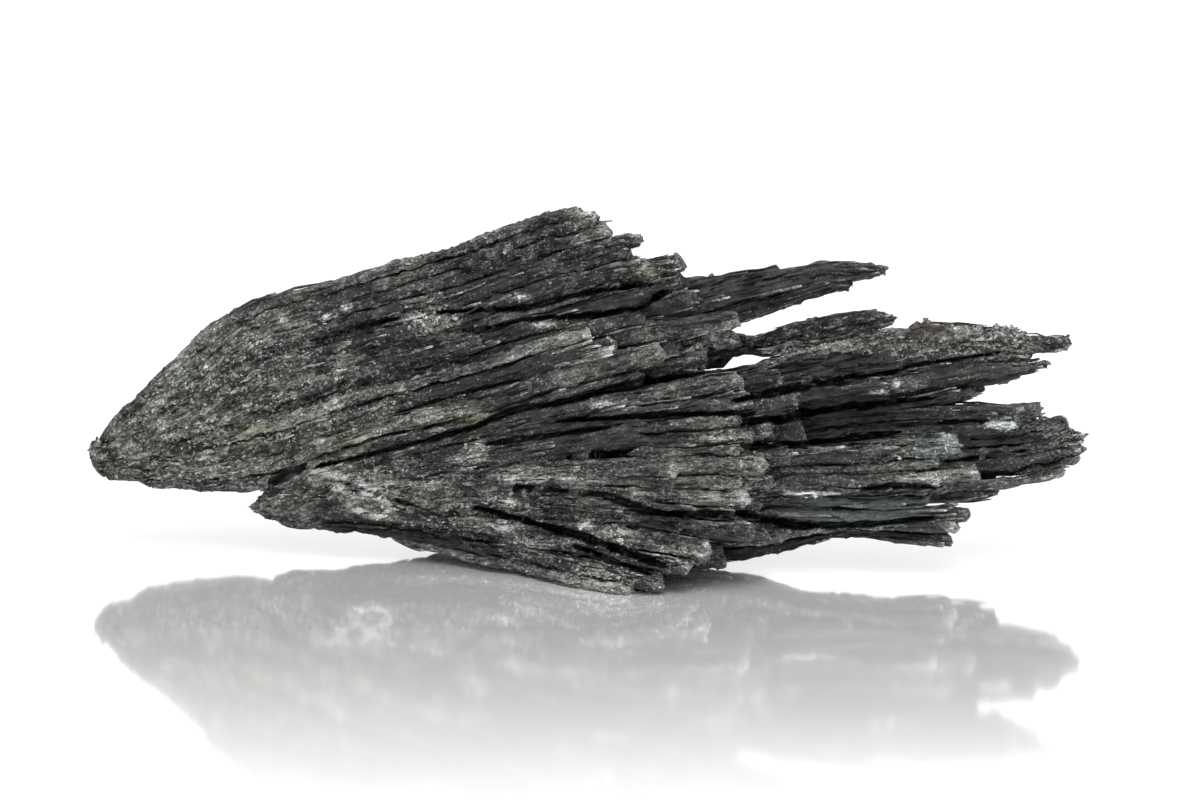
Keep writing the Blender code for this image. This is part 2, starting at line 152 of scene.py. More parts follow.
UPPER_SPRAY = Sheaf(
    "upper spray", 24,
    [
        (-2, 11.6, 9.4, 0, 16.2, 9.4, 3.4), (6, 12.8, 8.4, 7, 17.2, 8.4, 3.6),
        (13.8, 13.9, 7.8, 13.6, 18.7, 7.8, 3.6), (21.8, 14.3, 7.5, 20.5, 20.2, 7.5, 3.6),
        (28.8, 15.4, 7.4, 28, 21.6, 7.4, 3.4), (33.4, 16.6, 7.5, 33.2, 21.3, 7.5, 2.8),
        (37.6, 17.5, 7.8, 38.2, 20.9, 7.8, 2.2), (43, 18.8, 8.2, 43, 20.8, 8.2, 1.8),
    ],
    [
        Layer(0, 0.5, [
            (0, 0.13, 31.2), (0.11, 0.24, 35.2), (0.23, 0.42, 37.4), (0.42, 0.66, 35.9),
            (0.62, 0.89, 39.1), (0.86, 1, 35.3),
        ]),
        Layer(1, 0.5, [(0.02, 0.3, 32), (0.3, 0.55, 35.4), (0.55, 0.8, 33), (0.8, 0.98, 34.4)]),
    ],
)

FAR_SPRAY = Sheaf(
    "far spray", 27,
    [
        (-2, 9, 10, 0, 12.6, 10, 3.4), (8, 8.2, 9, 8, 13.2, 9, 3.8), (15, 7.6, 8.4, 15, 13.8, 8.4, 4),
        (22, 7.4, 8, 22, 14.9, 8, 4), (28, 7.5, 8, 29, 15.2, 8, 3.6), (33, 7.9, 8, 34, 15.2, 8, 3.2),
        (37.6, 8.8, 8.2, 38, 15.5, 8.2, 2.6), (42.5, 10.6, 8.4, 42.5, 16, 8.4, 2),
    ],
    [
        Layer(0, 0.5, [
            (0, 0.08, 32), (0.08, 0.18, 38.4), (0.18, 0.28, 39.6), (0.28, 0.38, 40.3), (0.38, 0.46, 40),
            (0.45, 0.55, 40.4), (0.55, 0.65, 39.4), (0.65, 0.79, 38.8), (0.86, 1, 36.9),
        ]),
        Layer(1, 0.5, [
            (0.02, 0.22, 33.6), (0.22, 0.4, 37), (0.4, 0.6, 35.2), (0.6, 0.8, 36.6), (0.8, 0.98, 32.8),
        ]),
    ],
)

SHELF = Sheaf(
    "shelf", None,
    [
        (2, 13.4, 5.8, 2, 15.2, 5.8, 2.6), (13.2, 14.8, 5.4, 13.2, 16.3, 5.4, 2.6),
        (19, 15.6, 5.4, 18.8, 17.2, 5.4, 2.6), (25, 16.3, 5.6, 25, 17.5, 5.6, 2.4),
        (29, 16.9, 5.8, 29, 18, 5.8, 2.2),
    ],
    [
        Layer(0.5, 1, [(0, 1, 24.9)]),
    ],
)

MIDDLE_SPRAY = Sheaf(
    "middle spray", 19,
    [
        (-8, 6.5, 7.4, -7, 12.4, 6.4, 4), (1, 5.6, 5.4, 2, 12, 4.8, 4.6),
        (9, 5.6, 4.4, 9.6, 11.6, 4.4, 4.8), (16, 6.1, 4.2, 15.6, 11.8, 4.2, 4.6),
        (22, 5.7, 4.2, 22, 12.3, 4.3, 4.4), (27.4, 5.9, 4.4, 28.4, 12.9, 4.8, 4),
        (34, 6.3, 5, 35, 13.4, 5.2, 3.6),
    ],
    [
        Layer(0, 0.5, [
            (0, 0.17, 25.6), (0.17, 0.3, 27.4), (0.3, 0.42, 28.4), (0.42, 0.6, 31.4), (0.6, 0.73, 28.4),
            (0.73, 0.88, 29.6), (0.88, 1, 29),
        ]),
        Layer(1, 0.5, [(0.05, 0.3, 23), (0.3, 0.55, 29), (0.55, 0.8, 25.4), (0.8, 0.98, 27)]),
    ],
)

LOW_SPRAY = Sheaf(
    "low spray", None,
    [
        (-4, 3.6, 8, -4, 7, 7, 4.2), (5, 3, 7.4, 5, 6.4, 6.4, 4.6), (12.6, 2.9, 6.8, 12.6, 6.2, 5.4, 4),
        (19.5, 4.6, 6, 19.5, 6.7, 5, 3.8), (24, 4.3, 5.2, 24, 6.9, 4.8, 3.4),
        (28.6, 3.8, 5, 29.5, 7.1, 4.8, 2.8), (33, 3.4, 5, 34, 7.3, 5, 2.6),
    ],
    [
        Layer(0, 0.55, [(0, 0.34, 29.2), (0.34, 0.68, 29.8), (0.68, 1, 30.4)]),
        Layer(1, 0.6, [(0.35, 0.7, 27), (0.6, 0.95, 25)]),
    ],
)

APRON = Sheaf(
    "apron", 1,
    [
        (-27.5, 6.5, 10.6, -26.9, 7.4, 10.2, 1.6), (-24.2, 5.3, 10, -23.4, 9, 8.6, 3),
        (-18.6, 4.9, 9.4, -17.5, 11.2, 6.4, 4.2), (-12, 3.6, 8.4, -10.5, 13.1, 4.6, 5.2),
        (-5.4, 1.9, 5.6, -3, 15, 3.4, 6), (2.2, 0, 1, 4.5, 16.6, 2.6, 6),
        (9, -2.1, 0.2, 12, 18, 2.4, 5.6), (15, -4, 0, 19, 19.4, 2.4, 5.4),
    ],
    [
        Layer(-0.08, 0.22, [(0.2, 0.27, 2), (0.38, 0.44, 3.4), (0.56, 0.64, 7.4), (0.74, 0.8, 4.6)]),
        Layer(0, 0.36, [
            (0, 0.07, 3.9), (0.07, 0.165, 5.9), (0.165, 0.24, 8), (0.24, 0.33, 9.8), (0.33, 0.41, 13.2),
            (0.41, 0.455, 11.6), (0.455, 0.52, 12.9), (0.52, 0.58, 12.4), (0.58, 0.66, 14.4),
            (0.66, 0.7, 12.4), (0.7, 0.76, 13), (0.76, 0.83, 12.2), (0.83, 0.91, 12.9), (0.91, 1, 12.4),
        ]),
        Layer(0.45, 0.36, [
            (0.22, 0.32, 10.8), (0.34, 0.4, 14.2), (0.44, 0.5, 14), (0.52, 0.58, 15),
            (0.62, 0.69, 16.2), (0.72, 0.78, 14.6), (0.8, 0.87, 16.8), (0.89, 0.97, 15.6),
        ]),
        Layer(1, 0.36, [
            (0.06, 0.24, 5.4), (0.24, 0.34, 9), (0.34, 0.5, 12), (0.5, 0.68, 15), (0.68, 0.84, 17.2),
        ]),
    ],
)

HEEL = Sheaf(
    "heel", 9,
    [
        (-17, 7.4, 10.4, -16, 11, 10.4, 3), (-9, 5.2, 10.2, -8, 11, 10.4, 4),
        (-1, 3.9, 10, 0.5, 11, 10.2, 5.2), (6, 3.8, 10, 8, 11.6, 10.2, 5.4),
        (14, 5.2, 9.6, 16, 12.4, 10, 4.4), (23, 6.8, 9.4, 25, 13, 10, 3.4),
    ],
    [
        Layer(1, 0.5, [
            (0, 0.18, 8.2), (0.18, 0.36, 9.4), (0.36, 0.56, 12.6), (0.56, 0.78, 15), (0.78, 1, 18),
        ]),
        Layer(0, 0.5, [(0, 0.3, 8), (0.3, 0.7, 11), (0.7, 1, 16.4)]),
    ],
)

SHEAVES = [
    CROWN, INNER_CROWN, SPEAR, SLIVERS, UPPER_SPRAY, FAR_SPRAY, SHELF, MIDDLE_SPRAY, LOW_SPRAY,
    APRON, HEEL,
]

# How a sheaf is coated: the widths and lengths of its fibres, how many times they cover its
# blades, and how far they stand in or out. parted is the share by which its blades get narrower
# towards their ends. Sheaves that aren't listed have the coarse coat.
Coat = namedtuple("Coat", "widths lengths cover relief parted")
FINE_COAT = Coat((0.16, 0.4), (1.2, 5.0), 0.15, 0.06, -0.02)
LONG_COAT = Coat((0.16, 0.4), (2.0, 8.0), 0.26, 0.06, 0.04)
COARSE_COAT = Coat((0.2, 0.5), (1.2, 5.5), 0.14, 0.08, 0.1)
CLOSE_COAT = COARSE_COAT._replace(parted=-0.12)
COATS = {
    "crown": FINE_COAT, "spear": LONG_COAT, "slivers": LONG_COAT, "shelf": LONG_COAT,
    "upper spray": CLOSE_COAT, "far spray": CLOSE_COAT,
}

# The sheaves that are shown as two pieces: the layers before this place in it, and those behind.
CUTS = {"crown": 0.2, "apron": 0.2}

# A fibre or a grain that lies deeper than this in the solid is left out.
BURIED = 0.24 * MM
GRAIN_BURIED = 0.15 * MM

# The seeds of all that is random: how the blades lie, the first sheaf, the lumps and the crust.
BLADE_SEED = 7
SHEAF_SEED = 100
LARGE_LUMP_SEED = 11
SMALL_LUMP_SEED = 12
CRUST_SEED = 13

# Distances along a sheaf are read from this many steps for each of its ribs.
RUN_STEPS = 60
# How far a blade grows into its neighbours, as a share of its own width.
GROWN_IN = 0.04

# The blades of a sheaf as arrays. start and end are distances along the sheaf.
Blades = namedtuple("Blades", "low high behind share start end roll slant lift parted")


def ribs_at(ribs, station):
    """The ribs at stations: whole numbers are the listed ribs, and a smooth curve joins them."""
    last = len(ribs) - 1
    i = np.clip(station.astype(int), 0, last - 1)
    t = (station - i)[..., None]
    before, a, b, after = (ribs[np.clip(i + k, 0, last)] for k in (-1, 0, 1, 2))
    return 0.5 * (
        2 * a + (b - before) * t + (2 * before - 5 * a + 4 * b - after) * t**2
        + (3 * a - before - 3 * b + after) * t**3
    )


def unit(vectors):
    return vectors / np.maximum(np.linalg.norm(vectors, axis=-1, keepdims=True), 1e-12)


def width_of(ribs):
    """How wide the sheaf is at ribs."""
    return np.linalg.norm(ribs[..., 3:6] - ribs[..., 0:3], axis=-1)


def line_at(ribs, stations, side):
    """Points (x, rise, depth) on the line that keeps the same side between the edges."""
    rib = ribs_at(ribs, stations)
    return rib[..., 0:3] + (rib[..., 3:6] - rib[..., 0:3]) * side


class Run:
    """The way along a sheaf, measured in millimetres on its middle line."""

    def __init__(self, ribs):
        self.ribs = ribs
        self.stations = np.linspace(0, len(ribs) - 1, RUN_STEPS * len(ribs))
        steps = np.linalg.norm(np.diff(line_at(ribs, self.stations, 0.5), axis=0), axis=1)
        self.distances = np.concatenate([[0.0], np.cumsum(steps)])
        self.widths = width_of(ribs_at(ribs, self.stations))

    def station(self, distance):
        return np.interp(distance, self.distances, self.stations)

    def first(self, reached):
        """The first distance at which something is reached, or the last of all."""
        return self.distances[np.argmax(reached)] if reached.any() else self.distances[-1]

    def distance_of_x(self, side, x):
        return self.first(line_at(self.ribs, self.stations, side)[:, 0] >= x)

    def distance_of_width(self, width):
        return self.first(self.widths >= width)


def blades_of(sheaf, run, dice):
    """The sheaf's blades, drawn in the same order as those of the solid."""
    rows = []
    parted = COATS.get(sheaf.name, COARSE_COAT).parted
    for layer in sheaf.layers:
        for low, high, end_x in layer.blades:
            grown_in = GROWN_IN * (high - low)
            root_width = dice.uniform(*ROOT_SHARES) * ROOT_WIDTH
            start = run.distance_of_width(root_width / (high - low))
            end = run.distance_of_x((low + high) / 2, end_x)
            roll = dice.uniform(-MOST_ROLL, MOST_ROLL)
            slant = dice.uniform(-MOST_SLANT, MOST_SLANT)
            lift = dice.uniform(-MOST_LIFT, MOST_LIFT)
            rows.append((
                max(low - grown_in, 0.0), min(high + grown_in, 1.0), layer.behind, layer.share,
                min(start, end - LEAST_LENGTH), end, roll, slant, lift, parted,
            ))
    return Blades(*np.array(rows).T)


def frames_at(run, blades, which, distance):
    """Where the blades are at distances: middle, along, across, inwards, width and thickness."""
    low, high, behind, share, start, end, *_, parted = (values[which][:, None] for values in blades)
    rib = ribs_at(run.ribs, run.station(distance))
    lower, upper, thick = rib[..., 0:3], rib[..., 3:6], rib[..., 6]
    middle = lower + (upper - lower) * ((low + high) / 2)[..., None]
    middle[..., 2] += thick * (share / 2 + (1 - share) * behind)
    along = unit(np.gradient(middle, axis=1))
    inwards = unit(np.cross(along, unit(upper - lower)))
    across = np.cross(inwards, along)
    reached = np.clip((distance - start) / (end - start), 0, 1)
    width = (high - low) * width_of(rib) * (1 - parted * reached)
    return middle, along, across, inwards, width, share * thick


def turned(x, y, angle):
    return x * np.cos(angle) - y * np.sin(angle), x * np.sin(angle) + y * np.cos(angle)


def smoothed(values, axis, times):
    """The values, each mixed with its neighbours on this axis."""
    for _ in range(times):
        before = np.roll(values, 1, axis)
        after = np.roll(values, -1, axis)
        edge = [slice(None)] * values.ndim
        edge[axis] = 0
        before[tuple(edge)] = values[tuple(edge)]
        edge[axis] = -1
        after[tuple(edge)] = values[tuple(edge)]
        values = (before + 2 * values + after) / 4
    return values


# How far the middle of a strand's root and of its end stand out.
ROOT_BULGE = 0.05
END_BULGES = (-0.06, 0.1)
# The stone's pattern is moved by up to this on each strand, so that no two look alike.
PATTERN_SHIFT = 50
# A grain's corners are the ends of its three axes, then their opposites. These are its faces.
GRAIN_FACES = [
    (a, 1 + b, 2 + c) if (a + b + c) % 2 else (a, 2 + c, 1 + b)
    for a, b, c in itertools.product((0, 3), repeat=3)
]
GRAIN_CORNERS = 6


class Skin:
    """Vertices, triangles and what each vertex tells the material, gathered for one piece."""

    def __init__(self):
        self.points, self.faces, self.grain, self.tone, self.broken = [], [], [], [], []
        self.count = 0

    def gather(self, points, faces, grain, tone, broken):
        """Takes in alike bodies: points (body, corner), and the faces of the first of them."""
        bodies, size = points.shape[:2]
        starts = self.count + size * np.arange(bodies)
        self.faces.append((np.array(faces)[None] + starts[:, None, None]).reshape(-1, 3))
        self.points.append(points.reshape(-1, 3))
        self.grain.append(grain.reshape(-1, 3))
        self.tone.append(np.repeat(tone, size))
        self.broken.append(broken)
        self.count += bodies * size

    def add(self, centre, frame_axes, x, y, ahead, distance, tone, broken, dice):
        """Adds closed strands. centre is (strand, ring), and x, y and ahead (strand, ring, corner)."""
        along, across, inwards = frame_axes
        strands, rings, corners = x.shape
        body = (
            centre[:, :, None] + across[:, :, None] * x[..., None]
            + inwards[:, :, None] * y[..., None] + along[:, :, None] * ahead[..., None]
        )
        first = body[:, 0].mean(1, keepdims=True) - along[:, 0, None] * ROOT_BULGE
        bulges = dice.uniform(*END_BULGES, (strands, 1, 1))
        last = body[:, -1].mean(1, keepdims=True) + along[:, -1, None] * bulges
        points = np.concatenate([body.reshape(strands, -1, 3), first, last], 1)
        shift = dice.uniform(-PATTERN_SHIFT, PATTERN_SHIFT, (strands, 1, 3))
        grain = np.stack([distance[:, :, None] + ahead, x, y], -1).reshape(strands, -1, 3)
        grain = np.concatenate([grain, grain[:, :1], grain[:, -1:]], 1) + shift
        worn = np.repeat(broken[:, :, None], corners, 2).reshape(strands, -1)
        worn = np.concatenate([worn, broken[:, :1], broken[:, -1:]], 1)

        ring, corner = np.indices((rings - 1, corners))
        a = ring * corners + corner
        b = ring * corners + (corner + 1) % corners
        sides = np.stack([a, b, b + corners, a, b + corners, a + corners], -1).reshape(-1, 3)
        start, end = rings * corners, rings * corners + 1
        edge = np.arange(corners)
        after = (edge + 1) % corners
        root = np.stack([np.full(corners, start), after, edge], -1)
        top = (rings - 1) * corners
        tip = np.stack([np.full(corners, end), top + edge, top + after], -1)
        self.gather(points, np.concatenate([sides, root, tip]), grain, tone, worn.reshape(-1))

    def add_grains(self, points, tone, broken, dice):
        """Adds closed grains with six corners each: points is (grain, corner)."""
        shift = dice.uniform(-PATTERN_SHIFT, PATTERN_SHIFT, (len(points), 1, 3))
        self.gather(points, GRAIN_FACES, points + shift, tone, np.repeat(broken, GRAIN_CORNERS))


def to_world(points):
    """Metres in the world for points (x, rise, depth) of the leaning specimen."""
    x, rise, depth = points[..., 0], points[..., 1], points[..., 2]
    return MM * np.stack([
        x - CENTRE_X,
        rise * math.sin(LEAN) + depth * math.cos(LEAN) - CENTRE_Y,
        rise * math.cos(LEAN) - depth * math.sin(LEAN),
    ], -1)


# How far apart the sections of a body are, and the corners of a section in front, at the back
# and between other blades.
SECTION_STEP = 0.36
FRONT_STEP = 0.16
BACK_STEP = 0.22
HIDDEN_STEP = 0.6
# The fewest corners that a section has in front, at the back and on a side.
FEWEST_CORNERS = (4, 3, 2)
# A blade's corners are taken in to this share.
CORNER_REACH = 0.96
# The corners of a heart's section behind and in front. It is an oval at 1, and boxy below that.
HEART_CORNERS = (36, 60)
HEART_BOXINESS = 0.8


def bar_rim(width, thick, front_step, back_step):
    """The rim of a flat bar one wide and one thick: its corners, and the way out from each."""
    wanted = width / front_step, width / back_step, thick / (front_step + back_step)
    front, back, side = (max(fewest, round(n)) for fewest, n in zip(FEWEST_CORNERS, wanted))
    x = np.linspace(-0.5, 0.5, front + 1)[:-1]
    y = np.linspace(-0.5, 0.5, side + 1)[:-1]
    x_back = np.linspace(0.5, -0.5, back + 1)[:-1]
    rim = np.concatenate([
        np.stack([x, np.full(front, -0.5)], -1),
        np.stack([np.full(side, 0.5), y], -1),
        np.stack([x_back, np.full(back, 0.5)], -1),
        np.stack([np.full(side, -0.5), -y], -1),
    ])
    out = np.sign(rim) * (np.abs(rim) == 0.5)
    is_corner = np.abs(rim).sum(1, keepdims=True) == 1
    return rim * np.where(is_corner, CORNER_REACH, 1.0), unit(out)


def oval_rim(behind, before):
    """The rim of a heart one wide and one thick, with the way out from each corner."""
    angle = np.concatenate([
        np.linspace(0, math.pi, behind, endpoint=False),
        np.linspace(math.pi, 2 * math.pi, before, endpoint=False),
    ])
    way = np.stack([np.cos(angle), np.sin(angle)], -1)
    return 0.5 * np.sign(way) * np.abs(way) ** HEART_BOXINESS, way


# A face is made of flakes. Each lies over the older ones, rises from its root and ends in a step.
FLAKE_LENGTHS = (0.9, 5.0)
FLAKE_WIDTHS = (0.22, 0.8)
FLAKE_HEIGHT = 0.095
FLAKE_RISES_OVER = 0.8
FLAKE_LEAN = 0.05
FLAKE_COVER = 2.2
FLAKES_PAST_END = 2.0


def flakes(distance, around, dice):
    """How far out each corner of each ring lies, for a face made of flakes that end in steps."""
    height = np.zeros((len(distance), len(around)))
    length, rim = np.ptp(distance), np.ptp(around)
    usual = np.mean(FLAKE_LENGTHS) * np.mean(FLAKE_WIDTHS)
    for _ in range(int(FLAKE_COVER * length * rim / usual)):
        end = distance[0] + dice.uniform(0, length + FLAKES_PAST_END)
        flake_length = dice.uniform(*FLAKE_LENGTHS)
        place = around[0] + dice.uniform(0, rim)
        half = dice.uniform(*FLAKE_WIDTHS) / 2
        lean = dice.normal(0, FLAKE_LEAN)
        top = dice.normal(0, FLAKE_HEIGHT)
        rows = (distance > end - flake_length) & (distance <= end)
        before_end = distance[rows, None] - end
        near = np.abs(around - place - lean * before_end) < half
        rise = top * np.clip((before_end + flake_length) / FLAKE_RISES_OVER, 0, 1)
        height[rows] = np.where(near, rise, height[rows])
    return height


# Grooves run along a face. They stray to the sides, and fade around this share of their depth.
GROOVE_EVERY = 1.0
GROOVE_DEPTHS = (0.02, 0.14)
GROOVE_HALF_WIDTH = 0.2
GROOVE_STRAYS = 0.8
GROOVE_SHARE = 0.6
GROOVE_FADES = 2.5


def grooves(distance, around, dice):
    """How far in each corner of each ring lies for the grooves that run along a face."""
    depth = np.zeros((len(distance), len(around)))
    for _ in range(int(np.ptp(around) / GROOVE_EVERY)):
        place = around[0] + dice.uniform(0, np.ptp(around))
        strays = smoothed(dice.normal(0, 1, len(distance)), axis=0, times=60)
        fades = smoothed(dice.normal(0, 1, len(distance)), axis=0, times=30)
        way = place + GROOVE_STRAYS * strays
        fading = np.clip(GROOVE_SHARE + GROOVE_FADES * fades, 0, 1)
        away = np.abs(around - way[:, None]) / GROOVE_HALF_WIDTH
        deep = dice.uniform(*GROOVE_DEPTHS) * fading[:, None]
        depth = np.maximum(depth, deep * np.clip(1 - away, 0, 1))
    return depth


# How far the first rings are from the root, and the last ones and the even ones from the ends.
ROOT_RINGS = (0.0, 0.04, 0.12, 0.25)
END_RINGS = (0.26, 0.12, 0.03, 0.0, 0.0)
EVEN_FROM = 0.4
FEWEST_RINGS = 5


def rings_of(start, end):
    """Distances of the rings of a body: evenly spaced, with closer ones at its root and its end."""
    count = max(FEWEST_RINGS, int((end - start) / SECTION_STEP))
    evenly = np.linspace(start + EVEN_FROM, end - EVEN_FROM, count)
    return np.concatenate([start + np.array(ROOT_RINGS), evenly, end - np.array(END_RINGS)])


# How wide an end's splinters are and how unlike in length: in a layer, and on top of the others.
PLAIN_SPLIT = (0.85, 0.65)
OVERLAY_SPLIT = (0.3, 2.2)
# How far a splinter stands ahead at most, and how sloping and uneven its end is.
SPLINTER_AHEAD = 0.1
SPLINTER_SLOPE = 0.35
SPLINTER_UNEVEN = 0.06


def split_end(x, y, splinter_width, end_chip, dice):
    """How far each corner of a broken end stands ahead: a few blunt splinters of unlike length."""
    splinters = max(1, int(np.ptp(x) / splinter_width))
    edges = np.sort(dice.uniform(x.min(), x.max(), splinters - 1))
    lengths = dice.uniform(-end_chip, SPLINTER_AHEAD, splinters)
    slopes = dice.uniform(-SPLINTER_SLOPE, SPLINTER_SLOPE, splinters)
    splinter = np.searchsorted(edges, x)
    ahead = lengths[splinter] + slopes[splinter] * y + dice.normal(0, SPLINTER_UNEVEN, len(x))
    return smoothed(ahead, axis=0, times=2)


# How large the last rings are, and how much of the end's jagged shape they have.
END_SIZES = (0.98, 0.93, 0.82, 0.55, 0.25)
END_WEIGHTS = np.array([0.55, 0.9, 1.0, 1.0, 1.0])
# The innermost rings have this share of that, and are uneven.
INNER_RINGS = 2
INNER_SHARE = 0.6
INNER_UNEVEN = 0.07
# How uneven a face is from corner to corner, over a few corners, and along whole ridges.
ROUGH = 0.03
UNEVEN = 0.2
RIDGED = 0.15
# A blade's faces bulge by this share of its thickness, up to this thickness.
BULGE = 0.16
BULGE_UP_TO = 1.6
# Near its end a body is worn down and pale, over these lengths.
END_WORN = 0.16
END_WORN_OVER = 1.2
END_BROKEN = 0.6
END_BROKEN_OVER = 1.3
# How large a body is at its very root, and the distances over which a blade and a heart grow.
ROOT_SIZE = 0.03
BLADE_ROOT = 1.5
HEART_ROOT = 1.2


def add_body(skin, run, blade, rim, distance, root, fullness, tone, end_is_chipped, dice):
    """One blade or heart, with flaked faces, a rounded root and a chipped end."""
    corners, out = rim
    d = distance[None]
    middle, along, across, inwards, width, thick = frames_at(run, blade, np.array([0]), d)
    rings, count = len(distance), len(corners)
    around = np.concatenate([[0], np.cumsum(np.linalg.norm(
        np.diff(corners, axis=0) * (width.max(), thick.max()), axis=1
    ))])
    relief = flakes(distance, around, dice) - grooves(distance, around, dice)
    relief += ROUGH * dice.normal(0, 1, (rings, count))
    uneven = smoothed(dice.normal(0, 1, (rings, count)), axis=0, times=2)
    relief += UNEVEN * smoothed(uneven, axis=1, times=3)
    relief += RIDGED * smoothed(dice.normal(0, 1, (rings, count)), axis=0, times=14)
    if end_is_chipped:
        rounding = np.abs(2 * corners[:, 0]) ** 3 * np.abs(out[:, 1])
        reached = np.linspace(0, 1, rings)
        relief -= BULGE * rounding * (reached * np.minimum(thick[0], BULGE_UP_TO))[:, None]
    from_end = np.clip((distance[-1] - distance) / END_WORN_OVER, 0, 1)
    worn = smoothed(dice.uniform(0, 1, (1, count)), axis=1, times=2)
    relief -= END_WORN * (1 - from_end[:, None]) * worn
    size = np.clip((distance - distance[0]) / root + ROOT_SIZE, 0, 1) ** 0.5
    size[-len(END_SIZES):] *= END_SIZES
    x = corners[:, 0] * width[..., None] * (1 + BEVEL * corners[:, 1])
    y = corners[:, 1] * (thick * fullness)[..., None]
    x = (x + out[:, 0] * relief) * size[None, :, None]
    y = (y + out[:, 1] * relief) * size[None, :, None] + blade.lift[0] * thick[..., None]
    x, y = turned(x, y, blade.roll[0])
    ahead = np.zeros_like(x)
    if end_is_chipped:
        split = OVERLAY_SPLIT if blade.behind[0] < 0 else PLAIN_SPLIT
        chip = split_end(x[0, -INNER_RINGS - 1], y[0, -INNER_RINGS - 1], *split, dice)
        steps = blade.slant[0] * x[0, -len(END_WEIGHTS):] + chip
        uneven = dice.normal(0, INNER_UNEVEN, (INNER_RINGS, count))
        steps[-INNER_RINGS:] = steps[-INNER_RINGS:] * INNER_SHARE + uneven
        ahead[0, -len(END_WEIGHTS):] = END_WEIGHTS[:, None] * steps
    broken = END_BROKEN * np.clip(1 - (distance[-1] - distance) / END_BROKEN_OVER, 0, 1)[None]
    axes = (along, across, inwards)
    skin.add(middle, axes, x, y, ahead, d, np.array([tone]), broken, dice)


# How pale and dusty a blade is. Those between the front and the back get low tones, darker and with
# fewer grains: painted shade for their place deep in the sheaf.
BLADE_TONES = (0.05, 0.2, 0.4, 0.6, 0.85)
SHADED_RECESS = (0.2, 0.8)
SHADED_RECESS_TONES = (0.0, 0.3)


def add_blades(skin, run, blades, dice):
    """The blades themselves, finer where they are in front or at the back of the sheaf."""
    for k in range(len(blades.low)):
        blade = Blades(*(values[k:k + 1] for values in blades))
        start, end, behind = blade.start[0], blade.end[0], blade.behind[0]
        rib = ribs_at(run.ribs, run.station(np.array([(start + end) / 2, end])))
        width = (blade.high[0] - blade.low[0]) * width_of(rib).max()
        thick = blade.share[0] * rib[:, 6].max()
        steps = (FRONT_STEP, HIDDEN_STEP) if behind <= 0.5 else (HIDDEN_STEP, BACK_STEP)
        # A blade deep inside the sheaf gets a low tone: painted shade.
        in_shaded_recess = SHADED_RECESS[0] < behind < SHADED_RECESS[1]
        tone = dice.uniform(*SHADED_RECESS_TONES) if in_shaded_recess else dice.choice(BLADE_TONES)
        rim = bar_rim(width, thick, *steps)
        add_body(skin, run, blade, rim, rings_of(start, end), BLADE_ROOT, 1.0, tone, True, dice)


HEART_TONE = 0.55
# A heart has these shares of its sheaf's width and thickness, and thins out further on.
HEART_SHARES = (0.985, 0.86)
HEART_THINS_OVER = 5.0
HEART_THINNED = 0.6


def add_heart(skin, sheaf, run, blades, dice):
    """The heart of a sheaf, from its very root. It thins out where all the blades have begun."""
    end = run.distance_of_x(0.5, sheaf.heart)
    heart = Blades(*np.array([[0, 1, 0.5, 1, 0, end, 0, 0, 0, 0]]).T)
    corners, out = oval_rim(*HEART_CORNERS)
    rim = corners * HEART_SHARES, out
    distance = rings_of(0.0, end)
    last_start = blades.start.max()
    fullness = np.interp(distance, (last_start, last_start + HEART_THINS_OVER), (1.0, HEART_THINNED))
    add_body(skin, run, heart, rim, distance, HEART_ROOT, fullness, HEART_TONE, False, dice)


# A fibre's greatest share of its blade's length, the share of fibres that end near the blade's
# end, how near, and the share of the way to the blade's root after which one may begin.
FIBRE_LONGEST = 0.95
FIBRES_AT_END = 0.25
FIBRE_END_GAP = 0.4
FIBRE_END_SPREAD = 0.8
FIBRE_BEFORE_START = 0.6
# How far a fibre stands out usually, how flat it is, and how far it turns and drifts.
FIBRE_SUNK = -0.03
FIBRE_FLATNESS = (0.45, 0.85)
FIBRE_TURN = 0.3
FIBRE_DRIFT = 0.05


def drawn_fibres(run, blades, coat, dice):
    """Draws the fibres of a sheaf: on which blade, where on its rim, from where and to where."""
    length = blades.end - blades.start
    rib = ribs_at(run.ribs, run.station((blades.start + blades.end) / 2))
    width = (blades.high - blades.low) * width_of(rib)
    thick = blades.share * rib[:, 6]
    rim = 2 * (width + thick)
    usual = np.mean(coat.widths) * np.mean(coat.lengths)
    counts = np.ceil(coat.cover * rim * length / usual).astype(int)
    which = np.repeat(np.arange(len(counts)), counts)
    total = len(which)
    place = dice.uniform(0, 1, total) * rim[which]
    w, h = width[which], thick[which]
    on_face = [place < w, place < w + h, place < 2 * w + h]
    half = 0.5 + 0 * w
    u = np.select(on_face, [place / w - half, half, half - (place - w - h) / w], -0.5)
    v = np.select(on_face, [-half, (place - w) / h - half, half], half - (place - 2 * w - h) / h)
    on_side = (np.abs(u) == 0.5) & (np.abs(v) < 0.5)
    fibre_length = dice.uniform(*coat.lengths, total)
    fibre_length = np.minimum(fibre_length, FIBRE_LONGEST * length[which])
    to_end = dice.uniform(0, 1, total) < FIBRES_AT_END
    from_end = FIBRE_END_GAP + np.abs(dice.normal(0, FIBRE_END_SPREAD, total))
    anywhere = dice.uniform(0, 1, total) * np.maximum(length[which] - fibre_length, 0)
    end = np.where(
        to_end, blades.end[which] - from_end, blades.start[which] + fibre_length + anywhere
    )
    return dict(
        which=which, u=u, v=v, end=end,
        normal_x=np.where(on_side, np.sign(u), 0.0),
        normal_y=np.where(on_side, 0.0, np.sign(v)),
        start=np.maximum(end - fibre_length, blades.start[which] * FIBRE_BEFORE_START),
        out=dice.normal(FIBRE_SUNK, coat.relief, total),
        width=dice.uniform(*coat.widths, total),
        flat=dice.uniform(*FIBRE_FLATNESS, total),
        turn=np.where(on_side, math.pi / 2, 0.0) + dice.normal(0, FIBRE_TURN, total),
        drift=dice.normal(0, FIBRE_DRIFT, total),
        tone=dice.uniform(0, 1, total),
    )


